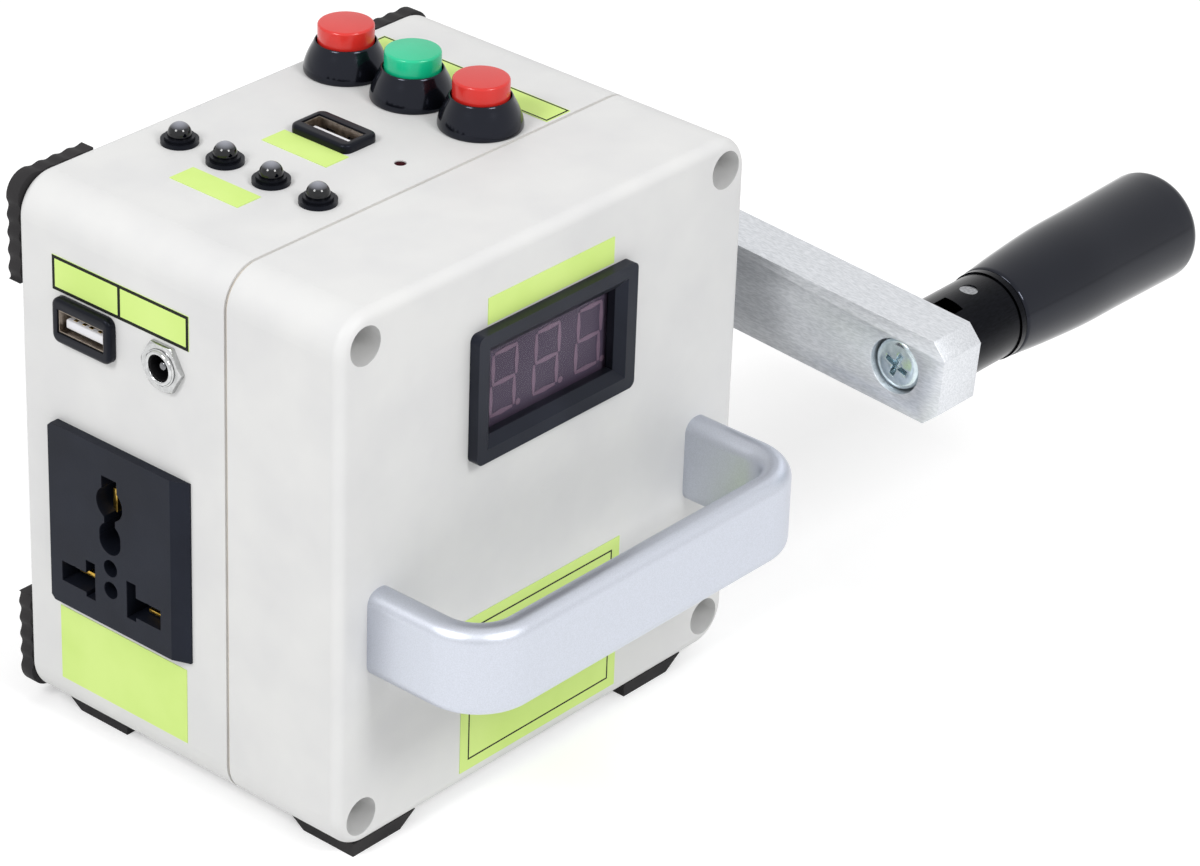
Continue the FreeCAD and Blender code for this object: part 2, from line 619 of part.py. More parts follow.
def carry_handle():
    """A flat bar bent to a U, its long edges well rounded, with a tapped hole in each leg."""
    left = S.handle_middle - S.handle_length / 2
    right = S.handle_middle + S.handle_length / 2
    inner = S.handle_bend - S.handle_thickness
    points = [(left, ZERO, None), (left, -S.handle_reach, S.handle_bend),
              (right, -S.handle_reach, S.handle_bend), (right, ZERO, None),
              (right - S.handle_thickness, ZERO, None),
              (right - S.handle_thickness, S.handle_thickness - S.handle_reach, inner),
              (left + S.handle_thickness, S.handle_thickness - S.handle_reach, inner),
              (left + S.handle_thickness, ZERO, None)]
    body = doc.addObject("PartDesign::Body", "handle_bar")
    sketch = body.newObject("Sketcher::SketchObject", "handle_outline")
    sketch.AttachmentSupport = ([item for item in body.Origin.OriginFeatures
                                 if item.Role == "XY_Plane"][0], "")
    sketch.MapMode = "FlatFace"
    sketch.setExpression("AttachmentOffset.Base.z", S.handle_base.text)
    outline(sketch, points)
    pad = body.newObject("PartDesign::Pad", "handle_pad")
    pad.Profile = sketch
    bind(pad, Length=S.handle_width)
    doc.recompute()
    rim = []
    for number, edge in enumerate(pad.Shape.Edges, start=1):
        level = len({round(vertex.Z, 6) for vertex in edge.Vertexes}) == 1
        at_wall = all(abs(vertex.Y) < 1e-6 for vertex in edge.Vertexes)
        if level and not at_wall:
            rim.append(f"Edge{number}")
    fillet = body.newObject("PartDesign::Fillet", "handle_edges")
    fillet.Base = (pad, rim)
    bind(fillet, Radius=S.handle_edge)
    doc.recompute()
    feet, z = handle_centres()
    holes = [rod("y", x, -S.handle_screw_depth, z, S.handle_screw_radius + S.fit_gap,
                 S.handle_screw_depth + 1) for x in feet]
    return finish("carry_handle", cut(body, *holes))


def handle_screws():
    feet, z = handle_centres()
    screws = []
    for x in feet:
        shank = rod("y", x, 1 - S.handle_screw_depth, z, S.handle_screw_radius,
                    S.handle_screw_depth + S.wall)
        screws.append(fuse(shank, rod("y", x, S.wall, z, S.handle_screw_head, S.wall)))
    return finish("handle_screws", group(*screws))


# ---- voltmeter ------------------------------------------------------------------------------------------

def meter_box(inset, y):
    return box((S.meter_left + inset, S.meter_left + S.meter_width - inset), y,
               (S.meter_base + inset, S.meter_base + S.meter_height - inset))


def voltmeter_bezel():
    """A raised rim that slopes in to the window, with a sleeve that passes through the cover."""
    low = (S.meter_left, S.meter_base)
    high = (S.meter_left + S.meter_width, S.meter_base + S.meter_height)
    rim = prism("y", -S.meter_proud, ZERO, rounded(low, high, S.meter_round))
    sleeve = meter_box(S.meter_sleeve_inset, (ZERO - 1, S.meter_body_depth))
    hollow = meter_box(S.meter_sleeve_inset + S.meter_sleeve_wall, (S.meter_lip, S.meter_body_depth + 1))
    view = S.meter_rim + S.meter_slope
    sight = meter_box(view, (-S.meter_proud - 1, S.meter_lip + 1))
    slope = doc.addObject("Part::Wedge", "slope")
    bind(slope, Ymin=ZERO, Ymax=S.meter_slope_depth, Xmin=S.meter_rim,
         Xmax=S.meter_width - S.meter_rim, X2min=view, X2max=S.meter_width - view,
         Zmin=S.meter_rim, Zmax=S.meter_height - S.meter_rim, Z2min=view,
         Z2max=S.meter_height - view)
    locate(slope, S.meter_left, -S.meter_proud, S.meter_base)
    return finish("voltmeter_bezel", cut(fuse(rim, sleeve), hollow, sight, slope))


def meter_insert():
    return S.meter_sleeve_inset + S.meter_sleeve_wall + S.fit_gap


def voltmeter_window():
    pane = meter_box(meter_insert(), (S.meter_lip, S.meter_lip + S.meter_window))
    return finish("voltmeter_window", fuse(pane))


def voltmeter_display():
    """The digit block behind the window, soldered to its board."""
    start = S.meter_lip + S.meter_window + S.meter_digits_gap
    digits = meter_box(S.meter_digits_inset, (start, start + S.meter_digits_depth))
    board = meter_box(meter_insert(), (start + S.meter_digits_depth,
                                       start + S.meter_digits_depth + S.board))
    return finish("voltmeter_display", fuse(digits, board))


# ---- sockets --------------------------------------------------------------------------------------------

def outlet_middle():
    return S.outlet_front + S.outlet_width / 2


OUTLET_SLOT = {"near": 4.65, "far": 7.35, "low": 4.7, "high": 13.5}
OUTLET_BLADE = {"near": 7.35, "far": 14.5, "low": 5.7, "high": 10.4}
OUTLET_ROUND_PIN = {"side": 10.7, "up": 8.1, "radius": 2.4}
OUTLET_EARTH = {"half": 2.2, "low": 31.1, "high": 35.6, "up": 29.6, "radius": 3.8, "neck": 1.6,
                "oval_low": 20.8, "oval_high": 22.0, "oval_radius": 3.1}
OUTLET_PEEP = {"ups": (9.2, 14.4), "radius": 1.95, "depth": 6.0}


def ac_socket():
    """A moulded outlet that takes several kinds of plug, its face bevelled towards front and rear."""
    front = S.outlet_front
    rear = S.outlet_front + S.outlet_width
    base = S.outlet_base
    top = S.outlet_base + S.outlet_height
    profile = [(ZERO, front, None), (-S.outlet_edge, front, None),
               (-S.outlet_proud, front + S.outlet_bevel, None),
               (-S.outlet_proud, rear - S.outlet_bevel, None), (-S.outlet_edge, rear, None),
               (ZERO, rear, None)]
    face = prism("z", base, top, profile)
    inset = S.outlet_body_inset
    body = box((-S.outlet_edge, S.outlet_body_depth), (front + inset, rear - inset),
               (base + inset, top - inset))
    middle = outlet_middle()
    depth = (-S.outlet_proud - 1, S.outlet_pocket)
    reach = S.outlet_pocket + S.outlet_proud + 1
    earth = OUTLET_EARTH
    tools = [box(depth, (middle - earth["half"], middle + earth["half"]),
                 (base + earth["low"], base + earth["high"])),
             rod("x", depth[0], middle, base + earth["up"], size(earth["radius"]), reach),
             box(depth, (middle - earth["neck"], middle + earth["neck"]),
                 (base + earth["oval_high"], base + earth["up"]))]
    for up in (earth["oval_low"], earth["oval_high"]):
        tools.append(rod("x", depth[0], middle, base + up, size(earth["oval_radius"]), reach))
    for up in OUTLET_PEEP["ups"]:
        tools.append(rod("x", depth[0], middle, base + up, size(OUTLET_PEEP["radius"]),
                         S.outlet_proud + 1 + OUTLET_PEEP["depth"]))
    for side in (-1, 1):
        for hole in (OUTLET_SLOT, OUTLET_BLADE):
            reaches = sorted((side * hole["near"], side * hole["far"]))
            tools.append(box(depth, (middle + reaches[0], middle + reaches[1]),
                             (base + hole["low"], base + hole["high"])))
        pin = OUTLET_ROUND_PIN
        tools.append(rod("x", depth[0], middle + side * pin["side"], base + pin["up"],
                         size(pin["radius"]), reach))
    return finish("ac_socket", cut(fuse(face, body), *tools))


def ac_contacts():
    """Brass contact strips standing in the earth, live and neutral pockets."""
    middle = outlet_middle()
    strip = 1.2
    long = (S.outlet_pocket / 2, S.outlet_pocket)
    up = S.outlet_base + OUTLET_EARTH["up"]
    earth = OUTLET_EARTH["half"]
    strips = [box(long, (middle - earth, middle - earth + strip), (up - earth, up + earth)),
              box(long, (middle + earth - strip, middle + earth), (up - earth, up + earth))]
    low = S.outlet_base + OUTLET_BLADE["low"]
    high = S.outlet_base + OUTLET_BLADE["high"]
    for side in (-1, 1):
        place = middle + side * (OUTLET_BLADE["near"] + OUTLET_BLADE["far"]) / 2
        strips.append(box(long, (place - strip, place + strip), (low + strip / 2, high - strip / 2)))
    return finish("ac_contacts", group(*strips))


def usb_bezel(label, axis, face, centre, length, breadth):
    """A raised frame round a USB opening, with a sleeve that fits the hole in the wall.

    The face is the wall's outer plane and the sign of the way out along the axis.
    """
    plane, outward = face
    out = plane + outward * S.usb_proud
    into = plane - outward * S.usb_sleeve_depth
    half = (length / 2, breadth / 2) if axis == "x" else (breadth / 2, length / 2)
    low = (centre[0] - half[0], centre[1] - half[1])
    high = (centre[0] + half[0], centre[1] + half[1])
    start, end = (out, plane) if outward < 0 else (plane, out)
    frame = prism(axis, start, end, rounded(low, high, S.usb_corner))
    sleeve = usb_block(axis, centre, usb_opening("sleeve"), (into, plane) if outward > 0 else (plane, into))
    mouth = usb_block(axis, centre, usb_opening("bezel"),
                      (into - 1, out + 1) if outward > 0 else (out - 1, into + 1))
    return finish(label, cut(fuse(frame, sleeve), mouth))


def usb_block(axis, centre, half, span):
    """A block of a socket's half sizes, its long side along y."""
    length, breadth = half
    if axis == "x":
        return box(span, (centre[0] - length, centre[0] + length), (centre[1] - breadth, centre[1] + breadth))
    return box((centre[0] - breadth, centre[0] + breadth), (centre[1] - length, centre[1] + length), span)


def usb_places():
    """Axis, centre, outer lip and closed back of each USB socket."""
    lip = S.usb_proud - S.usb_skin
    yield "x", (S.side_usb_y, S.side_usb_z), -lip, S.usb_depth
    yield "z", (S.top_usb_x, S.top_usb_y), S.case_height + lip, TOP_BOARD_Z


def usb_shells():
    shells = []
    for axis, centre, lip, back in usb_places():
        length, breadth = usb_opening("shell")
        inner = (length - S.usb_skin, breadth - S.usb_skin)
        span = (lip, back) if axis == "x" else (back, lip)
        clear = (lip - 1, back - 1) if axis == "x" else (back + 1, lip + 1)
        shells.append(cut(usb_block(axis, centre, (length, breadth), span),
                          usb_block(axis, centre, inner, clear)))
    return finish("usb_shells", group(*shells))


def usb_tongues():
    """The contact tongues, set back from the mouth and nearer the lower or left wall."""
    tongues = []
    half = (S.usb_tongue_width / 2, S.usb_tongue / 2)
    for axis, (first, second), lip, back in usb_places():
        if axis == "x":
            place, span = (first, second - S.usb_tongue_shift), (lip + S.usb_tongue_setback, back - 1)
        else:
            place, span = (first - S.usb_tongue_shift, second), (back + 1, lip - S.usb_tongue_setback)
        tongues.append(usb_block(axis, place, half, span))
    return finish("usb_tongues", group(*tongues))


def dc_jack_barrel():
    outer = rod("x", -S.jack_proud, S.jack_y, S.jack_z, S.jack_radius, S.jack_proud + S.jack_depth)
    shoulder = rod("x", S.wall, S.jack_y, S.jack_z, S.jack_radius + S.jack_shoulder, S.wall)
    hole = rod("x", -S.jack_proud - 1, S.jack_y, S.jack_z, S.jack_hole,
               S.jack_proud + 1 + S.jack_hole_depth)
    return finish("dc_jack_barrel", cut(fuse(outer, shoulder), hole))


def dc_jack_nut():
    nut = hexagon("x", -S.jack_nut_height, S.jack_y, S.jack_z, S.jack_nut_flats, S.jack_nut_height)
    bore = rod("x", -S.jack_nut_height - 1, S.jack_y, S.jack_z, S.jack_radius + S.fit_gap,
               S.jack_nut_height + 2)
    return finish("dc_jack_nut", cut(nut, bore))


def dc_jack_pin():
    pin = rod("x", 1 - S.jack_proud, S.jack_y, S.jack_z, S.jack_pin, S.jack_proud - 1 + S.jack_hole_depth)
    return finish("dc_jack_pin", fuse(pin))


# ---- lamps and their board ------------------------------------------------------------------------------

def led_holders():
    holders = []
    for y in lamp_places():
        barrel = rod("z", S.lamp_x, y, S.case_height - S.lamp_barrel_depth, S.lamp_barrel, S.lamp_barrel_depth)
        collar = rod("z", S.lamp_x, y, S.case_height, S.lamp_collar, S.lamp_collar_height)
        lip = rod("z", S.lamp_x, y, S.case_height, S.lamp_lip, S.lamp_lip_height)
        bore = rod("z", S.lamp_x, y, S.case_height - S.lamp_barrel_depth - 1, S.lamp_radius + S.fit_gap,
                   S.lamp_barrel_depth + S.lamp_lip_height + 2)
        holders.append(cut(fuse(barrel, collar, lip), bore))
    return finish("led_holders", group(*holders))


def lamp(x, y, top, radius, body_base):
    """A lamp body with a round top, on two legs that stand on the board."""
    stem = rod("z", x, y, body_base, radius, top - radius - body_base)
    dome = doc.addObject("Part::Sphere", "dome")
    bind(dome, Radius=radius)
    locate(dome, x, y, top - radius)
    leg = S.lamp_leg / 2
    step = radius / 2
    legs = [box((x + place - leg, x + place + leg), (y - leg, y + leg), (TOP_BOARD_Z, body_base + 1))
            for place in (-step, step)]
    return fuse(stem, dome, *legs)


def leds():
    top = S.case_height + S.lamp_height
    base = S.case_height - S.lamp_barrel_depth - 1
    return finish("leds", group(*[lamp(S.lamp_x, y, top, S.lamp_radius, base) for y in lamp_places()]))


def indicator_led():
    return finish("indicator_led", lamp(S.pilot_x, S.pilot_y, S.case_height - S.pilot_recess, S.pilot_radius,
                                        TOP_INSIDE - S.pilot_radius))


def top_board():
    board = box((S.top_board_left, S.top_board_right), (S.top_board_front, S.top_board_rear),
                (TOP_BOARD_Z - S.board, TOP_BOARD_Z))
    return finish("top_board", fuse(board))


# ---- push buttons ---------------------------------------------------------------------------------------

BUTTON_NAMES = ("front_button", "middle_button", "rear_button")


def button_bezels():
    """Bell-shaped bezels; below each, a threaded barrel passes through the wall."""
    profile = [(S.stem_radius + S.fit_gap, -S.wall, None), (S.stem_radius + S.fit_gap, S.bezel_floor, None),
               (S.cap_radius + S.fit_gap, S.bezel_floor, None), (S.cap_radius + S.fit_gap, S.bezel_height, None),
               (S.bezel_rim, S.bezel_height, S.bezel_band / 2),
               (S.bezel_waist, S.bezel_waist_height, None), (S.bezel_hip, S.bezel_hip_height, None),
               (S.bezel_radius, S.bezel_band, None),
               (S.bezel_radius, ZERO, None), (S.barrel_radius, ZERO, None),
               (S.barrel_radius, -S.barrel_depth, None),
               (S.barrel_radius - S.barrel_wall, -S.barrel_depth, None),
               (S.barrel_radius - S.barrel_wall, -S.wall, None)]
    bezels = [turned("z", S.button_x, y, S.case_height, profile) for y in button_places()]
    return finish("button_bezels", group(*bezels))


def button_caps():
    """A cap on a long stem; the skirt runs in the bezel and the stem in its floor."""
    reach = S.barrel_depth - S.button_travel - S.stem_clear
    profile = [(ZERO, -reach, None), (S.stem_radius, -reach, None), (S.stem_radius, S.cap_top - S.cap_crown, None),
               (S.cap_radius - S.cap_wall, S.cap_top - S.cap_crown, None),
               (S.cap_radius - S.cap_wall, S.cap_skirt, None), (S.cap_radius, S.cap_skirt, None),
               (S.cap_radius, S.cap_top, S.cap_edge), (ZERO, S.cap_top, None)]
    for name, y in zip(BUTTON_NAMES, button_places()):
        finish(name + "_cap", fuse(turned("z", S.button_x, y, S.case_height, profile)))


def button_springs():
    """A coil spring round each stem, between the bezel's floor and the underside of the cap."""
    wire = S.spring_wire.value
    margin = S.spring_wire + S.spring_clear
    seat = S.case_height + S.bezel_floor + margin
    length = (S.cap_top - S.cap_crown - S.bezel_floor - 2 * margin).value
    for name, y in zip(BUTTON_NAMES, button_places()):
        coil = Part.makeHelix(length / S.spring_turns.value, length, S.spring_radius.value)
        section = Part.Wire(Part.makeCircle(wire, V(S.spring_radius.value, 0, 0), V(0, 1, 0)))
        spring = doc.addObject("Part::Feature", name + "_spring")
        spring.Shape = Part.Wire(coil.Edges).makePipeShell([section], True, True)
        finish(name + "_spring", spring, S.button_x, y, seat)


def button_nuts():
    nuts = []
    for y in button_places():
        nut = hexagon("z", S.button_x, y, TOP_INSIDE - S.button_nut_height, S.button_nut_flats,
                      S.button_nut_height)
        bore = rod("z", S.button_x, y, TOP_INSIDE - S.button_nut_height - 1, S.barrel_radius + S.fit_gap,
                   S.button_nut_height + 2)
        nuts.append(cut(nut, bore))
    return finish("button_nuts", group(*nuts))


def button_contacts():
    top = S.case_height - S.barrel_depth
    blocks = [rod("z", S.button_x, y, top - S.contact_depth, S.barrel_radius, S.contact_depth)
              for y in button_places()]
    return finish("button_contacts", group(*blocks))


# ---- gear train -----------------------------------------------------------------------------------------

def shaft_places():
    """Centres of the crank shaft, the idler below it and the generator's rotor."""
    first = S.gear_module * (S.drive_teeth + S.idler_pinion_teeth) / 2
    second = S.gear_module * (S.idler_teeth + S.rotor_teeth) / 2
    idler_z = S.crank_z - first
    return (S.crank_y, S.crank_z), (S.crank_y, idler_z), (S.crank_y + second * sine(S.rotor_lean), S.rotor_z)


def tooth_ring(teeth, turn_degrees, x, width, bore, centre):
    """A spur gear on the x axis with involute flanks and stub teeth, one tooth at the given angle."""
    module = S.gear_module.value
    count = int(teeth.value)
    pitch = module * count / 2
    base = pitch * math.cos(math.radians(20))
    tip = pitch + 0.8 * module
    root = pitch - 1.05 * module
    backlash = 0.06 * module / pitch
    flank_at_pitch = math.tan(math.acos(base / pitch)) - math.acos(base / pitch)
    half_at_pitch = math.pi / (2 * count) - backlash
    points = []
    steps = 4
    for tooth in range(count):
        middle = math.radians(turn_degrees) + 2 * math.pi * tooth / count
        flank = [(root, half_at_pitch + flank_at_pitch)]
        start = max(base, root + 0.05 * module)
        for step in range(steps + 1):
            radius = start + (tip - start) * step / steps
            spread = math.tan(math.acos(base / radius)) - math.acos(base / radius)
            flank.append((radius, half_at_pitch + flank_at_pitch - spread))
        for radius, angle in flank:
            points.append((radius, middle - angle))
        for radius, angle in reversed(flank):
            points.append((radius, middle + angle))
    y, z = centre
    ring = [V(x.value, y.value + radius * math.cos(angle), z.value + radius * math.sin(angle))
            for radius, angle in points]
    blank = Part.Face(Part.makePolygon(ring + ring[:1])).extrude(V(width.value, 0, 0))
    hole = Part.makeCylinder(bore.value, width.value + 2, V(x.value - 1, y.value, z.value), V(1, 0, 0))
    return blank.cut(hole)


def gear(label, teeth, turn_degrees, x, width, bore, centre):
    wheel = doc.addObject("Part::Feature", label)
    wheel.Shape = tooth_ring(teeth, turn_degrees, x, width, bore, centre)
    return finish(label, wheel)


def gears():
    crank, idler, rotor = shaft_places()
    down = -90
    across = math.degrees(math.atan2(rotor[1].value - idler[1].value, rotor[0].value - idler[0].value))
    half_pinion = 180 / S.idler_pinion_teeth.value
    half_rotor = 180 / S.rotor_teeth.value
    gear("drive_gear", S.drive_teeth, down, S.slow_gear_x, S.slow_gear_width, S.shaft_radius, crank)
    gear("idler_pinion", S.idler_pinion_teeth, down + 180 + half_pinion, S.slow_gear_x - S.hub_length,
         S.slow_gear_width + 2 * S.hub_length, S.idler_shaft_radius, idler)
    gear("idler_gear", S.idler_teeth, across, S.fast_gear_x, S.fast_gear_width, S.idler_shaft_radius, idler)
    gear("rotor_pinion", S.rotor_teeth, across + 180 + half_rotor, S.fast_gear_x - S.hub_length / 2,
         S.fast_gear_width + S.hub_length, S.rotor_shaft_radius, rotor)


def shafts():
    crank, idler, rotor = shaft_places()
    start = S.inner_plate_x - 1
    long = rod("x", start, *crank, S.shaft_radius, TONGUE_X - 1 - start)
    shoulder_x = S.case_width + S.wall_bush_proud + S.seat_gap
    shoulder = rod("x", shoulder_x, *crank, S.shoulder_radius, ARM_X - shoulder_x)
    tapping = rod("x", TONGUE_X - S.hub_screw_depth, *crank, S.hub_screw_radius + S.fit_gap,
                  S.hub_screw_depth)
    finish("crank_shaft", cut(fuse(long, shoulder), tapping))
    idler_rod = rod("x", start, *idler, S.idler_shaft_radius, S.outer_plate_x + S.plate + 1 - start)
    finish("idler_shaft", fuse(idler_rod))
    rotor_start = S.inner_plate_x - S.can_length
    finish("rotor_shaft", fuse(rod("x", rotor_start, *rotor, S.rotor_shaft_radius,
                                   S.fast_gear_x + S.fast_gear_width + 1 - rotor_start)))


def spacer_places():
    for y in (S.plate_front + S.spacer_inset, S.plate_rear - S.spacer_inset):
        for z in (S.outer_plate_base + S.spacer_inset, S.plate_top - S.spacer_inset):
            yield y, z


def gearbox():
    """Two plates held apart by four spacers, with bushes for the crank shaft and the idler."""
    crank, idler, rotor = shaft_places()
    bush = S.bush_wall + S.fit_gap
    for label, x, base in (("gearbox_inner_plate", S.inner_plate_x, S.inner_plate_base),
                           ("gearbox_outer_plate", S.outer_plate_x, S.outer_plate_base)):
        sheet_metal = box((x, x + S.plate), (S.plate_front, S.plate_rear), (base, S.plate_top))
        holes = [rod("x", x - 1, *crank, S.shaft_radius + bush + S.fit_gap, S.plate + 2),
                 rod("x", x - 1, *idler, S.idler_shaft_radius + bush + S.fit_gap, S.plate + 2)]
        if label == "gearbox_inner_plate":
            holes.append(rod("x", x - 1, *rotor, S.rotor_shaft_radius + 2 * S.fit_gap + 1, S.plate + 2))
        else:
            holes += [rod("x", x - 1, y, z, S.mount_screw_radius + S.fit_gap, S.plate + 2)
                      for y, z in gearbox_mounts()]
        finish(label, cut(sheet_metal, *holes))
    gap_start = S.inner_plate_x + S.plate
    finish("gearbox_spacers", group(*[rod("x", gap_start, y, z, S.spacer_radius, S.outer_plate_x - gap_start)
                                      for y, z in spacer_places()]))
    bushes = []
    for x in (S.inner_plate_x, S.outer_plate_x):
        for centre, radius in ((crank, S.shaft_radius), (idler, S.idler_shaft_radius)):
            sleeve = rod("x", x, *centre, radius + bush, S.plate)
            bore = rod("x", x - 1, *centre, radius + S.fit_gap, S.plate + 2)
            bushes.append(cut(sleeve, bore))
    finish("gearbox_bushes", group(*bushes))
    screws = []
    for y, z in gearbox_mounts():
        head = rod("x", S.case_width - S.wall / 2, y, z, S.mount_screw_head, S.wall / 2)
        shank = rod("x", S.outer_plate_x, y, z, S.mount_screw_radius, S.case_width - 1 - S.outer_plate_x)
        screws.append(fuse(head, shank))
    finish("gearbox_screws", group(*screws))
    sleeve = rod("x", S.case_width - S.wall, *crank, S.wall_bush_radius, S.wall)
    flange = rod("x", S.case_width, *crank, S.wall_bush_flange, S.wall_bush_proud)
    bore = rod("x", S.case_width - S.wall - 1, *crank, S.shaft_radius + S.fit_gap,
               S.wall + S.wall_bush_proud + 2)
    finish("wall_bush", cut(fuse(sleeve, flange), bore))


# ---- generator ------------------------------------------------------------------------------------------

def generator():
    centre = shaft_places()[2]
    end = S.inner_plate_x
    start = end - S.can_length
    outer = rod("x", start, *centre, S.can_radius, S.can_length)
    nose = rod("x", start - S.can_nose, *centre, S.can_radius / 3, S.can_nose + 1)
    inner = rod("x", start + S.can_wall, *centre, S.can_radius - S.can_wall,
                S.can_length - 2 * S.can_wall)
    bore = rod("x", start - 1, *centre, S.rotor_shaft_radius + S.fit_gap, S.can_length + 2)
    finish("generator_can", cut(fuse(outer, nose), inner, bore))
    middle = start + S.can_length / 2
    half = S.stator_length / 2
    finish("stator", cut(rod("x", middle - half, *centre, S.can_radius - S.can_wall - S.fit_gap,
                             S.stator_length),
                         rod("x", middle - half - 1, *centre, S.stator_inner, S.stator_length + 2)))
    half = S.rotor_length / 2
    finish("rotor", cut(rod("x", middle - half, *centre, S.rotor_radius, S.rotor_length),
                        rod("x", middle - half - 1, *centre, S.rotor_shaft_radius, S.rotor_length + 2)))


# ---- power board ----------------------------------------------------------------------------------------

def power_electronics():
    """The upright board behind the gear train, and what is soldered to it."""
    face = power_board_y()
    board = box((S.power_left, S.power_right), (face, face + S.board), (S.power_base, S.power_top))
    finish("power_board", fuse(board))
    coil = box((S.coil_left, S.coil_right), (face - S.coil_depth, face),
               (S.coil_base, S.coil_base + S.coil_height))
    finish("transformer", fuse(coil))
    cans = [rod("y", S.capacitor_x, face - S.capacitor_length, S.capacitor_base + S.capacitor_pitch * number,
                S.capacitor_radius, S.capacitor_length) for number in range(3)]
    finish("capacitors", group(*cans))
    sink = box((S.sink_left, S.sink_left + S.sink_width), (face - S.sink_depth, face),
               (S.sink_base, S.sink_base + S.sink_height))
    slots = []
    count = int(S.sink_slots.value)
    pitch = S.sink_height / (count + 1)
    for number in range(1, count + 1):
        middle = S.sink_base + pitch * number
        slots.append(box((S.sink_left + S.sink_width / 4, S.sink_left + S.sink_width + 1),
                         (face - S.sink_depth - 1, face + 1), (middle - pitch / 4, middle + pitch / 4)))
    finish("heat_sink", cut(sink, *slots))


# ---- crank arm and folding grip, drawn about the crank axis ---------------------------------------------

def crank_arm():
    """A square-edged bar with both ends chamfered, bored for the shaft and counterbored for the grip."""
    half = S.arm_width / 2
    low = half - S.arm_chamfer
    tip = -S.crank_radius - S.arm_tip
    hub = S.arm_hub_end
    points = [(tip, -low, None), (tip + S.arm_chamfer, -half, None), (hub - S.arm_chamfer, -half, None),
              (hub, -low, None), (hub, low, None), (hub - S.arm_chamfer, half, None),
              (tip + S.arm_chamfer, half, None), (tip, low, None)]
    bar = prism("x", ARM_X, TONGUE_X, points)
    through = S.arm_thickness + 2
    tools = [rod("x", ARM_X - 1, ZERO, ZERO, S.shaft_radius + S.fit_gap, through),
             rod("x", ARM_X - 1, -S.crank_radius, ZERO, S.grip_screw_radius + S.fit_gap, through),
             rod("x", ARM_X - 1, -S.crank_radius, ZERO, S.counterbore, S.counterbore_depth + 1)]
    return finish_on_crank("crank_arm", cut(bar, *tools))


def arm_screws():
    head = rod("x", TONGUE_X, ZERO, ZERO, S.hub_screw_head, S.hub_screw_height)
    shank = rod("x", TONGUE_X + 1 - S.hub_screw_depth, ZERO, ZERO, S.hub_screw_radius, S.hub_screw_depth)
    finish_on_crank("hub_screw", fuse(head, shank))
    seat = ARM_X + S.counterbore_depth
    head = rod("x", seat - S.grip_screw_height, -S.crank_radius, ZERO, S.grip_screw_head, S.grip_screw_height)
    shank = rod("x", seat - 1, -S.crank_radius, ZERO, S.grip_screw_radius,
                TONGUE_X - seat + 1 + grip_screw_bite())
    finish_on_crank("grip_screw", fuse(head, shank))


def grip_screw_bite():
    """How far the screw enters the tongue: it stops short of the pin."""
    return S.pin_reach - S.pin_radius - S.screw_pin_gap


def grip_tongue():
    half = S.tongue_width / 2
    thick = S.tongue_thickness / 2
    middle = -S.crank_radius
    bar = box((TONGUE_X, PIN_X), (middle - half, middle + half), (-thick, thick))
    nose = rod("z", PIN_X, middle, -thick, half, S.tongue_thickness)
    hole = rod("z", PIN_X, middle, -thick - 1, S.pin_radius + S.fit_gap, S.tongue_thickness + 2)
    tapping = rod("x", TONGUE_X - 1, middle, ZERO, S.grip_screw_radius + S.fit_gap,
                  1 + grip_screw_bite() + S.screw_end_gap)
    return finish_on_crank("grip_tongue", cut(fuse(bar, nose), hole, tapping))


def fold_pin():
    half = S.collar_radius - S.seat_gap
    return finish_on_crank("fold_pin", fuse(rod("z", PIN_X, -S.crank_radius, -half, S.pin_radius, 2 * half)))


def grip_collar():
    """A round socket on the tongue, open and with its heel rounded on the side it folds to, and the spindle."""
    middle = -S.crank_radius
    start = TONGUE_X + S.seat_gap
    end = TONGUE_X + S.collar_length
    barrel = rod("x", start, middle, ZERO, S.collar_radius, end - start)
    ring = rod("x", end - 0.5, middle, ZERO, S.ring_radius, S.ring_width + 0.5)
    spindle = rod("x", end, middle, ZERO, S.spindle_radius, S.spindle_length)
    bead = rod("x", end + S.spindle_length - S.spindle_tip - S.spindle_bead_width, middle, ZERO,
               S.spindle_bead, S.spindle_bead_width)
    reach = S.pin_reach + S.collar_radius
    slot_end = PIN_X + S.tongue_width / 2 + S.seat_gap
    slot_half = S.tongue_thickness / 2 + S.fit_gap
    slot = box((TONGUE_X, slot_end), (middle - S.tongue_width / 2 - S.seat_gap, middle + reach),
               (-slot_half, slot_half))
    heel_block = box((TONGUE_X, PIN_X), (middle, middle + reach), (-reach, reach))
    heel = cut(heel_block, rod("z", PIN_X, middle, -reach - 1, S.pin_reach - S.seat_gap, 2 * reach + 2))
    hole = rod("z", PIN_X, middle, -reach, S.pin_radius, 2 * reach)
    notch = box((TONGUE_X, TONGUE_X + S.notch_length),
                (middle - S.notch_width / 2 - S.notch_shift, middle + S.notch_width / 2 - S.notch_shift),
                (ZERO, reach))
    return finish_on_crank("grip_collar", cut(fuse(barrel, ring, spindle, bead), slot, heel, hole, notch))


def grip():
    """The moulded grip: a slim neck, a long swell and a rounded end, bored for the spindle."""
    inside = S.spindle_radius + S.fit_gap
    bead = S.spindle_bead + S.seat_gap
    bore_end = S.spindle_length - S.ring_width - S.seat_gap + S.spindle_tip
    groove = bore_end - S.spindle_bead_groove
    profile = [(inside, ZERO, None), (S.grip_neck, ZERO, None), (S.grip_shoulder, S.grip_shoulder_at, None),
               (S.grip_belly, S.grip_belly_at, None), (S.grip_swell, S.grip_swell_at, None),
               (S.grip_heel, S.grip_heel_at, None), (S.grip_end, S.grip_length, S.grip_edge),
               (ZERO, S.grip_length, None), (ZERO, bore_end, None), (bead, bore_end, None),
               (bead, groove, None), (inside, groove, None)]
    shape = turned("x", GRIP_X, -S.crank_radius, ZERO, profile)
    return finish_on_crank("grip", fuse(shape))


# ---- assembly -------------------------------------------------------------------------------------------

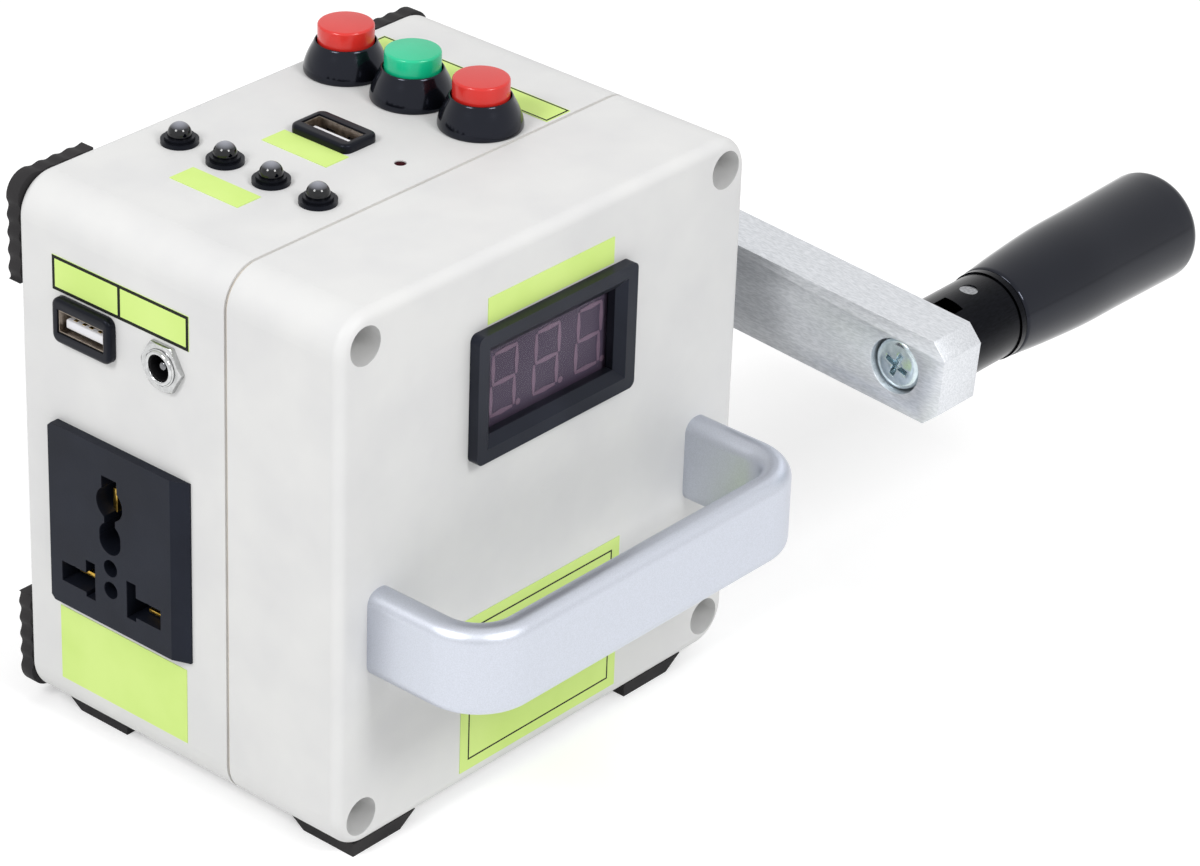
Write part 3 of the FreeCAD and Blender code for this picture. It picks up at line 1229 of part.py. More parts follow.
for build in (front_cover, rear_housing, cover_gasket, cover_screws, rear_corner_pads, bottom_feet,
              carry_handle, handle_screws, voltmeter_bezel, voltmeter_window, voltmeter_display,
              ac_socket, ac_contacts, usb_shells, usb_tongues, dc_jack_barrel, dc_jack_nut,
              dc_jack_pin, led_holders, leds, indicator_led, top_board, button_bezels, button_caps,
              button_springs, button_nuts, button_contacts, gears, shafts, gearbox, generator,
              power_electronics, crank_arm, arm_screws, grip_tongue, fold_pin, grip_collar, grip):
    build()
usb_bezel("side_usb_bezel", "x", (ZERO, -1), (S.side_usb_y, S.side_usb_z), S.side_usb_length,
          S.side_usb_breadth)
usb_bezel("top_usb_bezel", "z", (S.case_height, 1), (S.top_usb_x, S.top_usb_y), S.top_usb_length,
          S.top_usb_breadth)

doc.recompute()
faults = [thing.Name for thing in doc.Objects if {"Invalid", "Error"} & set(thing.State)]
for piece in parts:
    if piece.Shape.isNull() or not piece.Shape.isValid() or not piece.Shape.Solids:
        faults.append(piece.Label)
if faults:
    raise RuntimeError("these did not build: " + ", ".join(faults))
for piece in parts:
    piece.Shape.exportStep(f"parts/{piece.Label}.step")
    bounds = piece.Shape.BoundBox
    print(f"{piece.Label:22s} {len(piece.Shape.Solids)} solids {piece.Shape.Volume:10.1f} mm3  "
          f"x {bounds.XMin:.1f} {bounds.XMax:.1f}  y {bounds.YMin:.1f} {bounds.YMax:.1f}  "
          f"z {bounds.ZMin:.1f} {bounds.ZMax:.1f}")
print(len(parts), "nodes")
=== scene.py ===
import math
from mathutils import Matrix, Vector
import bpy


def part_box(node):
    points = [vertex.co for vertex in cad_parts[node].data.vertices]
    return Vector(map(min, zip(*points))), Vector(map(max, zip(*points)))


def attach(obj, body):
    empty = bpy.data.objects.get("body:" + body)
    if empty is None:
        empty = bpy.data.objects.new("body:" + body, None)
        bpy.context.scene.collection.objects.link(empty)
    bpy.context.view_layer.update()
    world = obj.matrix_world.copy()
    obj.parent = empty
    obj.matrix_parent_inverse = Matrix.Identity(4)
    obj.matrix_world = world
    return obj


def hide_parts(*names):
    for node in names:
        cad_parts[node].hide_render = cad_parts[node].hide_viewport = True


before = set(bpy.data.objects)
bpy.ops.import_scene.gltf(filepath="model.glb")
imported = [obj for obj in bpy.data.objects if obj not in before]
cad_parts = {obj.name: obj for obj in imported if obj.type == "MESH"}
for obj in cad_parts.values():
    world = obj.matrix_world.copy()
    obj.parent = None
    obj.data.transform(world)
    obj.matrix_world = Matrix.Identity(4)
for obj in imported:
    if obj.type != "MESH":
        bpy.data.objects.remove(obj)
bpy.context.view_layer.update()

MM = 0.001
CASE_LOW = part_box("front_cover")[0]
CASE_SIZE = (122.0, 90.0, 122.0)


def at(x, y, z):
    """A place in millimetres from the casing's lower left front corner, as a place in the frame."""
    return CASE_LOW + Vector((x, y, z)) * MM


def in_case(place):
    """A place in the frame as millimetres from that corner."""
    return (place - CASE_LOW) / MM


# ---- small helpers --------------------------------------------------------------------------------------

def linear(colour):
    """An sRGB hex colour as linear light, with alpha."""
    channels = [int(colour[i:i + 2], 16) / 255 for i in (1, 3, 5)]
    return tuple(c / 12.92 if c <= 0.04045 else ((c + 0.055) / 1.055) ** 2.4 for c in channels) + (1.0,)


def add_node(tree, kind, inputs=None, **settings):
    """Add a node, set its properties, and set or link each named input."""
    node = tree.nodes.new(kind)
    for name, value in settings.items():
        setattr(node, name, value)
    for name, value in (inputs or {}).items():
        if isinstance(value, bpy.types.NodeSocket):
            tree.links.new(value, node.inputs[name])
        else:
            node.inputs[name].default_value = value
    return node


def per_mm(size):
    """The scale of a pattern whose features measure this many millimetres."""
    return 1.0 / (size * MM)


def deselect():
    """Leave edit mode if a piece is in it, and select nothing."""
    if bpy.context.object and bpy.context.object.mode != "OBJECT":
        bpy.ops.object.mode_set(mode="OBJECT")
    bpy.ops.object.select_all(action="DESELECT")


def take(obj):
    """Make an object the only selected one, and the active one."""
    deselect()
    obj.select_set(True)
    bpy.context.view_layer.objects.active = obj
    return obj


def settle(obj):
    """Move an object's place, turn and scale into its mesh."""
    take(obj)
    bpy.ops.object.transform_apply(location=True, rotation=True, scale=True)
    return obj


def modify(obj, kind, **settings):
    """Add a modifier and apply it."""
    take(obj)
    modifier = obj.modifiers.new(kind.lower(), kind)
    for name, value in settings.items():
        setattr(modifier, name, value)
    bpy.ops.object.modifier_apply(modifier=modifier.name)
    return obj


def smooth(obj, degrees):
    """Shade smooth, but keep every edge sharp whose faces turn by more than this."""
    take(obj)
    bpy.ops.object.shade_smooth_by_angle(angle=math.radians(degrees))
    return obj


def dress(obj, name, body, slot, *materials):
    """Name a piece, give it its materials, and hang it on its body."""
    obj.name = name
    obj.data.name = name
    for material in materials:
        obj.data.materials.append(material)
    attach(obj, body)
    return obj


def block(low, high, bevel=0.0, segments=2):
    """A block between two corners in case millimetres, its edges bevelled."""
    low, high = Vector(low), Vector(high)
    deselect()
    bpy.ops.mesh.primitive_cube_add(size=1, location=at(*((low + high) / 2)))
    obj = bpy.context.object
    obj.scale = (high - low) * MM
    settle(obj)
    if bevel:
        modify(obj, "BEVEL", width=bevel * MM, segments=segments, limit_method="ANGLE")
    return obj


def local_block(low, high, bevel=0.0, segments=2):
    """A block drawn round the frame's own zero, in millimetres, to be set in place later."""
    obj = block(low, high, bevel, segments)
    obj.data.transform(Matrix.Translation(-at(0, 0, 0)))
    return obj


TURNS = {"x": (0, math.pi / 2, 0), "-x": (0, -math.pi / 2, 0), "-y": (math.pi / 2, 0, 0), "z": (0, 0, 0)}


def turned(place, axis, stations, sides=64):
    """A turned solid: a disc extruded from station to station.

    Each station is (distance along the axis, radius) in millimetres.
    """
    deselect()
    start, radius = stations[0]
    bpy.ops.mesh.primitive_circle_add(vertices=sides, radius=radius * MM, fill_type="NGON",
                                      location=(0, 0, start * MM))
    obj = bpy.context.object
    bpy.ops.object.transform_apply(location=True)
    bpy.ops.object.mode_set(mode="EDIT")
    bpy.ops.mesh.select_all(action="SELECT")
    for along, wide in stations[1:]:
        bpy.ops.mesh.extrude_region_move(TRANSFORM_OT_translate={"value": (0, 0, (along - start) * MM)})
        scale = wide / radius
        bpy.ops.transform.resize(value=(scale, scale, 1))
        start, radius = along, wide
    bpy.ops.mesh.select_all(action="SELECT")
    bpy.ops.mesh.normals_make_consistent(inside=False)
    bpy.ops.object.mode_set(mode="OBJECT")
    obj.rotation_euler = TURNS[axis]
    obj.location = at(*place)
    return settle(obj)


def carve(obj, cutter):
    """Take one solid away from another."""
    modify(obj, "BOOLEAN", object=cutter, operation="DIFFERENCE", solver="EXACT")
    bpy.data.objects.remove(cutter)
    return obj


def arc(start=0, stop=91, step=15):
    """Cosine and sine of the angles of an arc, in degrees."""
    return [(math.cos(math.radians(a)), math.sin(math.radians(a))) for a in range(start, stop, step)]


def joined(pieces):
    """Join pieces into the first of them."""
    deselect()
    for piece in pieces:
        piece.select_set(True)
    bpy.context.view_layer.objects.active = pieces[0]
    bpy.ops.object.join()
    return bpy.context.object


# ---- camera, light and floor ----------------------------------------------------------------------------

CAMERA_TURN = math.radians(50.07)
CAMERA_RISE = math.radians(29.16)
CAMERA_ROLL = math.radians(2.17)
CAMERA_DISTANCE = 0.96731
CAMERA_AIM = at(79.14, 1.17, 66.67)
FOCAL_PIXELS = 4679.11
FRAME_WIDTH = 1200
SENSOR_MM = 36.0


def make_camera():
    """A long lens at the left front corner, a little above the casing and rolled slightly."""
    back = Vector((-math.sin(CAMERA_TURN) * math.cos(CAMERA_RISE),
                   -math.cos(CAMERA_TURN) * math.cos(CAMERA_RISE), math.sin(CAMERA_RISE)))
    right = Vector((math.cos(CAMERA_TURN), -math.sin(CAMERA_TURN), 0))
    up = back.cross(right)
    turned_right = right * math.cos(CAMERA_ROLL) + up * math.sin(CAMERA_ROLL)
    turned_up = up * math.cos(CAMERA_ROLL) - right * math.sin(CAMERA_ROLL)
    data = bpy.data.cameras.new("camera")
    data.sensor_width = SENSOR_MM
    data.lens = SENSOR_MM * FOCAL_PIXELS / FRAME_WIDTH
    camera = bpy.data.objects.new("camera", data)
    bpy.context.scene.collection.objects.link(camera)
    turn = Matrix((turned_right, turned_up, back)).transposed().to_4x4()
    camera.matrix_world = Matrix.Translation(CAMERA_AIM + back * CAMERA_DISTANCE) @ turn
    bpy.context.scene.camera = camera


def area_light(name, place, aim, size, watts):
    """A square softbox turned towards its aim."""
    data = bpy.data.lights.new(name, "AREA")
    data.shape = "SQUARE"
    data.size = size
    data.energy = watts
    light = bpy.data.objects.new(name, data)
    bpy.context.scene.collection.objects.link(light)
    light.location = place
    light.rotation_euler = (Vector(aim) - Vector(place)).to_track_quat("-Z", "Y").to_euler()


SKY_LIGHT, SKY_SEEN = 0.62, 1.0      # the world's strength where it lights, and where it is looked at
FLOOR_SIZE = 6
PAPER_GREY = 0.82
FLOOR_LIFT = 0.34                    # a glow that only shows, so that the paper runs out to white
LAMP_AIM = Vector((0, 0, 0.06))
LAMP_RISE = math.radians(42)
LAMP_DISTANCE = 1.2
LAMP_SIZE = 0.34
LAMPS = (("left_softbox", -1, 5.3), ("right_softbox", 1, 5.4))     # name, side of the camera, watts


def seen_directly(tree):
    """One where the camera, a reflection or clear glass sees this surface, nought where it only lights."""
    path = add_node(tree, "ShaderNodeLightPath")
    mirrored = add_node(tree, "ShaderNodeMath", {0: path.outputs["Is Camera Ray"],
                                                 1: path.outputs["Is Glossy Ray"]}, operation="MAXIMUM")
    return add_node(tree, "ShaderNodeMath", {0: mirrored.outputs[0], 1: path.outputs["Is Transmission Ray"]},
                    operation="MAXIMUM").outputs[0]


def make_studio():
    """White surroundings, a softbox on either side of the camera and a white paper floor."""
    scene = bpy.context.scene
    scene.view_settings.view_transform = "Standard"
    world = bpy.data.worlds.new("studio")
    world.use_nodes = True
    tree = world.node_tree
    tree.nodes.clear()
    strength = add_node(tree, "ShaderNodeMapRange", {"Value": seen_directly(tree), "To Min": SKY_LIGHT,
                                                     "To Max": SKY_SEEN})
    light = add_node(tree, "ShaderNodeBackground", {"Color": (1, 1, 1, 1), "Strength": strength.outputs[0]})
    add_node(tree, "ShaderNodeOutputWorld", {"Surface": light.outputs[0]})
    scene.world = world
    toward = Vector((-math.sin(CAMERA_TURN), -math.cos(CAMERA_TURN), 0))
    beside = Vector((math.cos(CAMERA_TURN), -math.sin(CAMERA_TURN), 0))
    for name, side, watts in LAMPS:
        level = (toward + beside * side).normalized()
        away = level * math.cos(LAMP_RISE) + Vector((0, 0, math.sin(LAMP_RISE)))
        area_light(name, LAMP_AIM + away * LAMP_DISTANCE, LAMP_AIM, LAMP_SIZE, watts)
    deselect()
    bpy.ops.mesh.primitive_plane_add(size=FLOOR_SIZE, location=(0, 0, 0))
    floor = bpy.context.object
    floor.name = "floor"
    material = bpy.data.materials.new("white_paper_sweep")
    material.use_nodes = True
    tree = material.node_tree
    tree.nodes.clear()
    lift = add_node(tree, "ShaderNodeMath", {0: seen_directly(tree), 1: FLOOR_LIFT}, operation="MULTIPLY")
    paper = add_node(tree, "ShaderNodeBsdfDiffuse", {"Color": (PAPER_GREY, PAPER_GREY, PAPER_GREY, 1)})
    glow = add_node(tree, "ShaderNodeEmission", {"Color": (1, 1, 1, 1), "Strength": lift.outputs[0]})
    both = add_node(tree, "ShaderNodeAddShader", {0: paper.outputs[0], 1: glow.outputs[0]})
    add_node(tree, "ShaderNodeOutputMaterial", {"Surface": both.outputs[0]})
    floor.data.materials.append(material)


# ---- materials ------------------------------------------------------------------------------------------

def surface(name, inputs):
    """A new material with one principled shader; returns the material, its tree and the shader."""
    material = bpy.data.materials.new(name)
    material.use_nodes = True
    tree = material.node_tree
    tree.nodes.clear()
    shader = add_node(tree, "ShaderNodeBsdfPrincipled", inputs)
    add_node(tree, "ShaderNodeOutputMaterial", {"Surface": shader.outputs[0]})
    return material, tree, shader


def object_noise(tree, size, detail=3.0, stretch=(1, 1, 1), rough=0.5):
    """Noise on object coordinates, its features this many millimetres across, stretched as asked."""
    place = add_node(tree, "ShaderNodeTexCoord")
    lay = add_node(tree, "ShaderNodeMapping", {"Vector": place.outputs["Object"], "Scale": stretch})
    return add_node(tree, "ShaderNodeTexNoise", {"Vector": lay.outputs[0], "Scale": per_mm(size),
                                                 "Detail": detail, "Roughness": rough})


def tint(tree, shader, driver, dark, light, low=0.35, high=0.65):
    """Drive the base colour between two shades by a noise or another value."""
    ramp = add_node(tree, "ShaderNodeValToRGB", {"Fac": driver.outputs[0]})
    ramp.color_ramp.elements[0].position = low
    ramp.color_ramp.elements[1].position = high
    ramp.color_ramp.elements[0].color = linear(dark)
    ramp.color_ramp.elements[1].color = linear(light)
    tree.links.new(ramp.outputs[0], shader.inputs["Base Color"])


def emboss(tree, shader, noise, height, strength=0.5):
    """A bump of this many millimetres from a noise."""
    bump = add_node(tree, "ShaderNodeBump", {"Height": noise.outputs["Fac"], "Distance": height * MM,
                                             "Strength": strength})
    tree.links.new(bump.outputs[0], shader.inputs["Normal"])


def vary_roughness(tree, shader, noise, low, high):
    """Drive the roughness between two values by a noise."""
    span = add_node(tree, "ShaderNodeMapRange", {"Value": noise.outputs["Fac"], "To Min": low,
                                                 "To Max": high})
    tree.links.new(span.outputs[0], shader.inputs["Roughness"])


def moulded(name, dark, light, roughness, grain=0.35, height=0.02, specular=0.5, sheen=None):
    """Injection-moulded plastic: an even colour with a faint drift, and the mould's fine texture."""
    settings = {"IOR": 1.5, "Specular IOR Level": specular}
    if sheen:
        settings["Specular Tint"] = linear(sheen)
    material, tree, shader = surface(name, settings)
    tint(tree, shader, object_noise(tree, 18), dark, light)
    vary_roughness(tree, shader, object_noise(tree, 6), roughness - 0.04, roughness + 0.06)
    emboss(tree, shader, object_noise(tree, grain, 2.0), height)
    return material


def polished(name, dark, light, roughness):
    """Black phenolic from a polished tool: nearly black, its reflections cool and clear."""
    return moulded(name, dark, light, roughness, grain=1.6, height=0.003, specular=0.42, sheen="#CFD5EA")


def metal(name, dark, bright, roughness, grain=0.4, stretch=(1, 1, 1), height=0.012):
    """Bare or plated metal with the marks of its making drawn out along one direction."""
    material, tree, shader = surface(name, {"Metallic": 1.0})
    marks = object_noise(tree, grain, 4.0, stretch)
    tint(tree, shader, marks, dark, bright)
    vary_roughness(tree, shader, marks, roughness - 0.06, roughness + 0.08)
    emboss(tree, shader, marks, height, 0.35)
    return material


def dome_with_painted_sky_reflection(name, foot, crown, low, high):
    """A moulded lamp, nearly black below one height and paler above another, in case millimetres; the paler
    crown is a painted reflection of the bright space overhead.
    """
    material = moulded(name, foot, foot, 0.05, 3.0, 0.0005, 0.5)
    tree = material.node_tree
    shader = next(node for node in tree.nodes if node.type == "BSDF_PRINCIPLED")
    place = add_node(tree, "ShaderNodeTexCoord")
    parts = add_node(tree, "ShaderNodeSeparateXYZ", {"Vector": place.outputs["Object"]})
    painted_reflection_ramp = add_node(tree, "ShaderNodeMapRange", {"Value": parts.outputs["Z"], "From Min": at(0, 0, low).z,
                                                 "From Max": at(0, 0, high).z})
    # the crown colour, paler up the dome, is a painted reflection of the bright space overhead
    tint(tree, shader, painted_reflection_ramp, foot, crown, 0.0, 1.0)
    return material


def smoked_window(name, colour, cover):
    """A thin smoked acrylic sheet: it dims what lies behind it, and keeps a glossy face."""
    material, tree, shader = surface(name, {"Base Color": linear(colour), "Alpha": cover, "IOR": 1.49})
    vary_roughness(tree, shader, object_noise(tree, 4), 0.03, 0.06)
    return material


COOL_SHEEN = "#C4CCE6"


def make_materials():
    """Every material of the part, by a short key."""
    m = {}
    # casing: a quiet pale grey whose fine spark texture keeps the highlights soft and wide
    m["casing"] = moulded("pale_grey_abs", "#D6D6D6", "#DCDCDB", 0.5, grain=0.45, height=0.018)
    # gasket: a warm hairline that parts the two halves
    m["seam"] = moulded("beige_gasket_rubber", "#D0C8BC", "#DED7CC", 0.75, grain=0.5)
    # outlet and meter frame: blue-black matt faces that show their edges by shade, not by shine
    m["charcoal"] = moulded("charcoal_textured_abs", "#12141B", "#181B24", 0.45, 0.4, 0.03, 0.22, COOL_SHEEN)
    m["meter"] = moulded("charcoal_meter_frame", "#15171D", "#1D1F27", 0.34, 0.6, 0.012, 0.28, COOL_SHEEN)
    # bells and grip: deep black with cool streaks from the lamps
    m["gloss_black"] = polished("polished_black_phenolic", "#0A0B10", "#0E0F15", 0.12)
    m["grip_black"] = polished("polished_black_grip", "#08090D", "#0B0C11", 0.1)
    # socket frames and lamp holders: the same black, but satin, so their edges only gleam
    m["frame_black"] = moulded("satin_black_socket_frame", "#0A0B0F", "#0E0F14", 0.32, 0.8, 0.006, 0.22,
                               COOL_SHEEN)
    # collar and its tongue: turned steel, blackened, with faint turning marks
    m["black_metal"] = metal("blackened_turned_steel", "#0F1013", "#191A1F", 0.22, 0.5, (0.3, 3, 3), 0.004)
    # pads and feet: dusty rubber, dull and slightly warm, grainy close up
    m["rubber"] = moulded("moulded_black_rubber", "#1E1D1F", "#2A2829", 0.72, 0.6, 0.05, 0.3)
    # handle: even satin aluminium, cool, without grain at arm's length
    m["anodised"] = metal("satin_anodised_aluminium", "#C2C6CF", "#CCD0DA", 0.4, 0.25, height=0.006)
    # crank arm: bright saw-cut bar, fine marks across it that break up its reflection
    m["sawn"] = metal("sawn_aluminium_bar", "#CCCFD3", "#E2E4E8", 0.4, 0.3, (1, 0.2, 1), 0.01)
    # screws, shafts and plates: plain drawn steel, greyer than the bar
    m["steel"] = metal("drawn_steel", "#8C8D90", "#ABADB0", 0.3, 0.5)
    # jack's barrel: mirror-like nickel that turns black and white with what is round it
    m["nickel"] = metal("nickel_plate", "#B9BABB", "#CBCCCC", 0.1, 1.2, height=0.002)
    # jack's nut: the same nickel, tumbled, so it only hints at what is round it
    m["nut"] = metal("tumbled_nickel_nut", "#B4B5B5", "#C6C7C7", 0.22, 0.9, height=0.004)
    # jack's pin: darker polished steel that shows as a pair of sparks in the black mouth
    m["pin"] = metal("polished_steel_pin", "#6C6D70", "#828386", 0.12, 1.2, height=0.002)
    # socket shells: brownish tin, dull inside the mouth
    m["tin"] = metal("tinned_socket_shell", "#8A7F74", "#A69B8E", 0.3, 1.0, height=0.004)
    # cross screws: bright zinc with a faint cold cast
    m["zinc"] = metal("blue_zinc_plate", "#B4C2C8", "#D2DEE2", 0.16, 1.6, height=0.008)
    # outlet contacts: the only warm metal, glinting inside the pockets
    m["brass"] = metal("stamped_brass", "#B88F36", "#D9B65C", 0.28, 0.8, height=0.004)
    # transformer and generator cores: dull grey laminations
    m["iron"] = metal("laminated_iron", "#4C4C50", "#66666B", 0.5, 0.4)
    # tongues and gears: clean milky nylon
    m["white_nylon"] = moulded("white_nylon", "#E2E2E6", "#ECECF0", 0.4)
    # boards: dark green under a thin even gloss
    m["board"] = moulded("green_solder_mask", "#1F4A31", "#2C5F40", 0.4)
    # caps: saturated, glossy enough to show a pale rim and a pinkish or minty top
    m["red_cap"] = moulded("glossy_red_button", "#D02A24", "#DA322B", 0.22, 1.6, 0.004)
    m["green_cap"] = moulded("glossy_green_button", "#10B784", "#1AC491", 0.22, 1.6, 0.004)
    # labels: sharp yellow-green paper, quite flat, with dark printed lines
    m["label"] = moulded("fluorescent_paper_label", "#CCE781", "#D3EC8A", 0.6, 0.8, 0.006, 0.3)
    m["ink"] = moulded("printed_black_line", "#0B0F08", "#11160D", 0.6, specular=0.2)
    # meter: a violet-grey block with faint rosy digits behind the smoke
    m["window"] = smoked_window("smoked_acrylic_window", "#171019", 0.06)
    m["display"] = moulded("dark_display_face", "#52475A", "#5A5062", 0.5, 6.0, 0.002, 0.2)
    m["segment"] = moulded("unlit_led_segment", "#806A7E", "#887286", 0.4, 6.0, 0.001, 0.2)
    # lamps: smoky domes, almost black below, with two hard white glints from the softboxes; their paler crown
    # is a painted reflection of the bright space overhead
    m["lens"] = dome_with_painted_sky_reflection("smoky_lamp_epoxy_painted_reflection", "#010207", "#9A9CA6", CASE_SIZE[2] + 3.6,
                           CASE_SIZE[2] + 4.8)
    # indicator: so dark a red that it reads as a dot
    m["red_lens"] = moulded("dark_red_lamp_epoxy", "#2A040B", "#34070F", 0.6, 1.0, 0.002, 0.05)
    # jack's liner and the capacitors' sleeves: plain black
    m["liner"] = moulded("black_socket_liner", "#08080A", "#0C0C0E", 0.4, specular=0.2)
    return m


# The CAD nodes that are kept; a finer piece stands for each of the others.
NODE_MATERIALS = {
    "casing": ("front_cover", "rear_housing"), "seam": ("cover_gasket",), "frame_black": ("led_holders",),
    "meter": ("voltmeter_bezel",), "gloss_black": ("button_contacts",),
    "black_metal": ("grip_collar", "grip_tongue"), "rubber": ("bottom_feet",), "anodised": ("carry_handle",),
    "steel": ("cover_screws", "handle_screws", "fold_pin", "crank_shaft", "idler_shaft", "rotor_shaft",
              "gearbox_inner_plate", "gearbox_outer_plate", "gearbox_screws", "wall_bush", "generator_can",
              "idler_pinion", "front_button_spring", "middle_button_spring", "rear_button_spring"),
    "nickel": ("button_nuts", "heat_sink"),
    "brass": ("ac_contacts", "gearbox_bushes", "gearbox_spacers", "rotor_pinion"),
    "iron": ("stator", "rotor", "transformer"), "white_nylon": ("drive_gear", "idler_gear"),
    "board": ("top_board", "power_board"), "window": ("voltmeter_window",), "lens": ("leds",),
    "display": ("voltmeter_display",), "liner": ("capacitors",),
}


def dress_nodes(materials):
    """Give the CAD nodes better materials."""
    for key, names in NODE_MATERIALS.items():
        for name in names:
            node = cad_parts[name]
            node.data.materials.clear()
            node.data.materials.append(materials[key])


# ---- labels ---------------------------------------------------------------------------------------------

LABEL_THICKNESS = 0.15
FACING = 0.9              # how nearly a face must look outward to be the label's front
DIVIDER_PROUD, DIVIDER_INSET = 0.02, 0.3


def label(name, face, low, high, materials, margin=None, line=0.0, divider=None):
    """A paper label on a face: a thin plate, with a printed line let in round it where it has one.

    face names the plane: "front" takes (x, z), "left" takes (y, z) and "top" takes (x, y).
    """
    lift = LABEL_THICKNESS
    place = {"front": ((low[0], -lift, low[1]), (high[0], 0, high[1])),
             "left": ((-lift, low[0], low[1]), (0, high[0], high[1])),
             "top": ((low[0], low[1], CASE_SIZE[2]), (high[0], high[1], CASE_SIZE[2] + lift))}[face]
    out = {"front": Vector((0, -1, 0)), "left": Vector((-1, 0, 0)), "top": Vector((0, 0, 1))}[face]
    obj = block(*place)
    if margin is not None:
        take(obj)
        bpy.ops.object.mode_set(mode="EDIT")
        bpy.ops.mesh.select_all(action="DESELECT")
        bpy.ops.object.mode_set(mode="OBJECT")
        for polygon in obj.data.polygons:
            polygon.select = polygon.normal.dot(out) > FACING
        bpy.ops.object.mode_set(mode="EDIT")
        if margin:
            bpy.ops.mesh.inset(thickness=margin * MM)
        bpy.ops.mesh.inset(thickness=line * MM)
        bpy.ops.object.mode_set(mode="OBJECT")
        ring = [polygon for polygon in obj.data.polygons
                if polygon.normal.dot(out) > FACING and not polygon.select]
        inner = [polygon for polygon in obj.data.polygons if polygon.select][0]
        corners = set(inner.vertices)
        for polygon in ring:
            if corners & set(polygon.vertices):
                polygon.material_index = 1
    dress(obj, name, "casing", None, materials["label"], materials["ink"])
    if divider is not None:
        strip = block((-lift - DIVIDER_PROUD, divider - line / 2, low[1] + DIVIDER_INSET),
                      (-lift, divider + line / 2, high[1] - DIVIDER_INSET))
        dress(strip, name + "_divider", "casing", None, materials["ink"])


# name, face, low corner, high corner, and the printed line where there is one
LABELS = (("button_label", "top", (95.0, 32.0), (102.4, 85.0), {"margin": 0.15, "line": 0.45}),
          ("top_usb_label", "top", (47.3, 49.4), (54.0, 67.6), {}),
          ("lamp_label", "top", (21.8, 49.2), (28.5, 68.4), {}),
          ("meter_label", "front", (42.0, 106.4), (80.0, 112.3), {}),
          ("front_label", "front", (36.5, 3.3), (85.3, 40.0), {"margin": 2.35, "line": 0.4}),
          ("side_label", "left", (41.0, 101.0), (79.8, 108.8),
           {"margin": 0.0, "line": 0.75, "divider": 60.6}),
          ("outlet_label", "left", (42.6, 8.8), (79.9, 26.5), {}))


def make_labels(materials):
    """The seven paper labels, bare but for their border lines."""
    for name, face, low, high, print_lines in LABELS:
        label(name, face, low, high, materials, **print_lines)


# ---- voltmeter digits -----------------------------------------------------------------------------------

DIGIT_BASE = 82.9
DIGIT_HEIGHT = 14.8
DIGIT_WIDTH = 8.0
DIGIT_FIRST = 44.95
DIGIT_PITCH = 12.9
DIGIT_SLANT = 1.2
SEGMENT_WIDTH = 1.0
SEGMENT_DEEP = 0.1
SEGMENT_PROUD = 0.03      # from the display's face to the middle of a segment's thickness
SEGMENT_GAP = 0.35
DIGIT_COUNT = 3
POINT_RADIUS, POINT_AWAY, POINT_UP = 0.7, 0.5, 0.75


def display_face():
    """The front of the digit block, in millimetres behind the casing's front."""
    return in_case(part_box("voltmeter_display")[0]).y


def segment(centre, length, upright):
    """One lens of a digit: a thin bar with pointed ends, just proud of the display's face."""
    deselect()
    bpy.ops.mesh.primitive_cylinder_add(vertices=6, radius=SEGMENT_WIDTH / math.sqrt(3) * MM,
                                        depth=SEGMENT_DEEP * MM)
    obj = bpy.context.object
    obj.rotation_euler = (0, 0, math.pi / 6)
    settle(obj)
    stretch = (length - SEGMENT_WIDTH) / 2 * MM
    for vertex in obj.data.vertices:
        vertex.co.y += math.copysign(stretch, vertex.co.y) if abs(vertex.co.y) > 1e-6 else 0
    turn = Matrix.Rotation(math.radians(90), 4, "X")
    if not upright:
        turn = turn @ Matrix.Rotation(math.radians(90), 4, "Z")
    obj.data.transform(turn)
    obj.data.transform(Matrix.Translation(at(centre[0], display_face() - SEGMENT_PROUD, centre[1])))
    return obj


def make_digits(materials):
    """Three leaning digits with all their segments, each with its decimal point."""
    half_width = (DIGIT_WIDTH - SEGMENT_WIDTH) / 2
    half_height = (DIGIT_HEIGHT - SEGMENT_WIDTH) / 2
    bars = [((0, up), 2 * half_width - SEGMENT_GAP, False) for up in (half_height, 0, -half_height)]
    bars += [((across, up), half_height - SEGMENT_GAP, True) for across in (-half_width, half_width)
             for up in (-half_height / 2, half_height / 2)]
    pieces = []
    middle = DIGIT_BASE + DIGIT_HEIGHT / 2
    for number in range(DIGIT_COUNT):
        centre = DIGIT_FIRST + DIGIT_WIDTH / 2 + number * DIGIT_PITCH + DIGIT_SLANT / 2
        for (across, up), length, upright in bars:
            lean = up / DIGIT_HEIGHT * DIGIT_SLANT
            pieces.append(segment((centre + across + lean, middle + up), length, upright))
        place = (centre + DIGIT_WIDTH / 2 + POINT_AWAY, display_face(), DIGIT_BASE + POINT_UP)
        pieces.append(turned(place, "-y", [(-SEGMENT_DEEP / 2, POINT_RADIUS),
                                           (2 * SEGMENT_PROUD, POINT_RADIUS)], 24))
    dress(joined(pieces), "voltmeter_digits", "casing", None, materials["segment"])


# ---- push buttons ---------------------------------------------------------------------------------------

BUTTONS = ("front_button", "middle_button", "rear_button")
BELL_FOOT = [(-0.2, 6.0), (0.0, 6.0), (0.0, 8.8), (0.12, 8.97), (0.35, 9.05)]
BELL_SIDE = [(0.9, 9.05), (1.5, 8.95), (2.2, 8.76), (3.0, 8.5), (3.8, 8.18), (4.6, 7.82), (5.3, 7.46),
             (5.9, 7.15), (6.35, 6.93)]
BELL_LIP = [(6.65, 6.8), (6.87, 6.68), (6.98, 6.55), (7.0, 6.45), (6.9, 6.38), (6.6, 6.35), (0.4, 6.35)]
CAP_SKIRT, CAP_RADIUS, CAP_EDGE, CAP_WALL, CAP_CROWN = 3.6, 6.05, 0.55, 1.5, 2.2
STEM_RADIUS, STEM_REACH = 1.5, 10.0
CAP_FOOT_BREAK = 0.1
CENTRE_FLAT = 0.4         # a turned solid closes with a small flat of this radius


def on_top(node):
    """The middle of a CAD node, carried up to the casing's top."""
    low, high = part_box(node)
    middle = in_case((low + high) / 2)
    return middle.x, middle.y, CASE_SIZE[2]


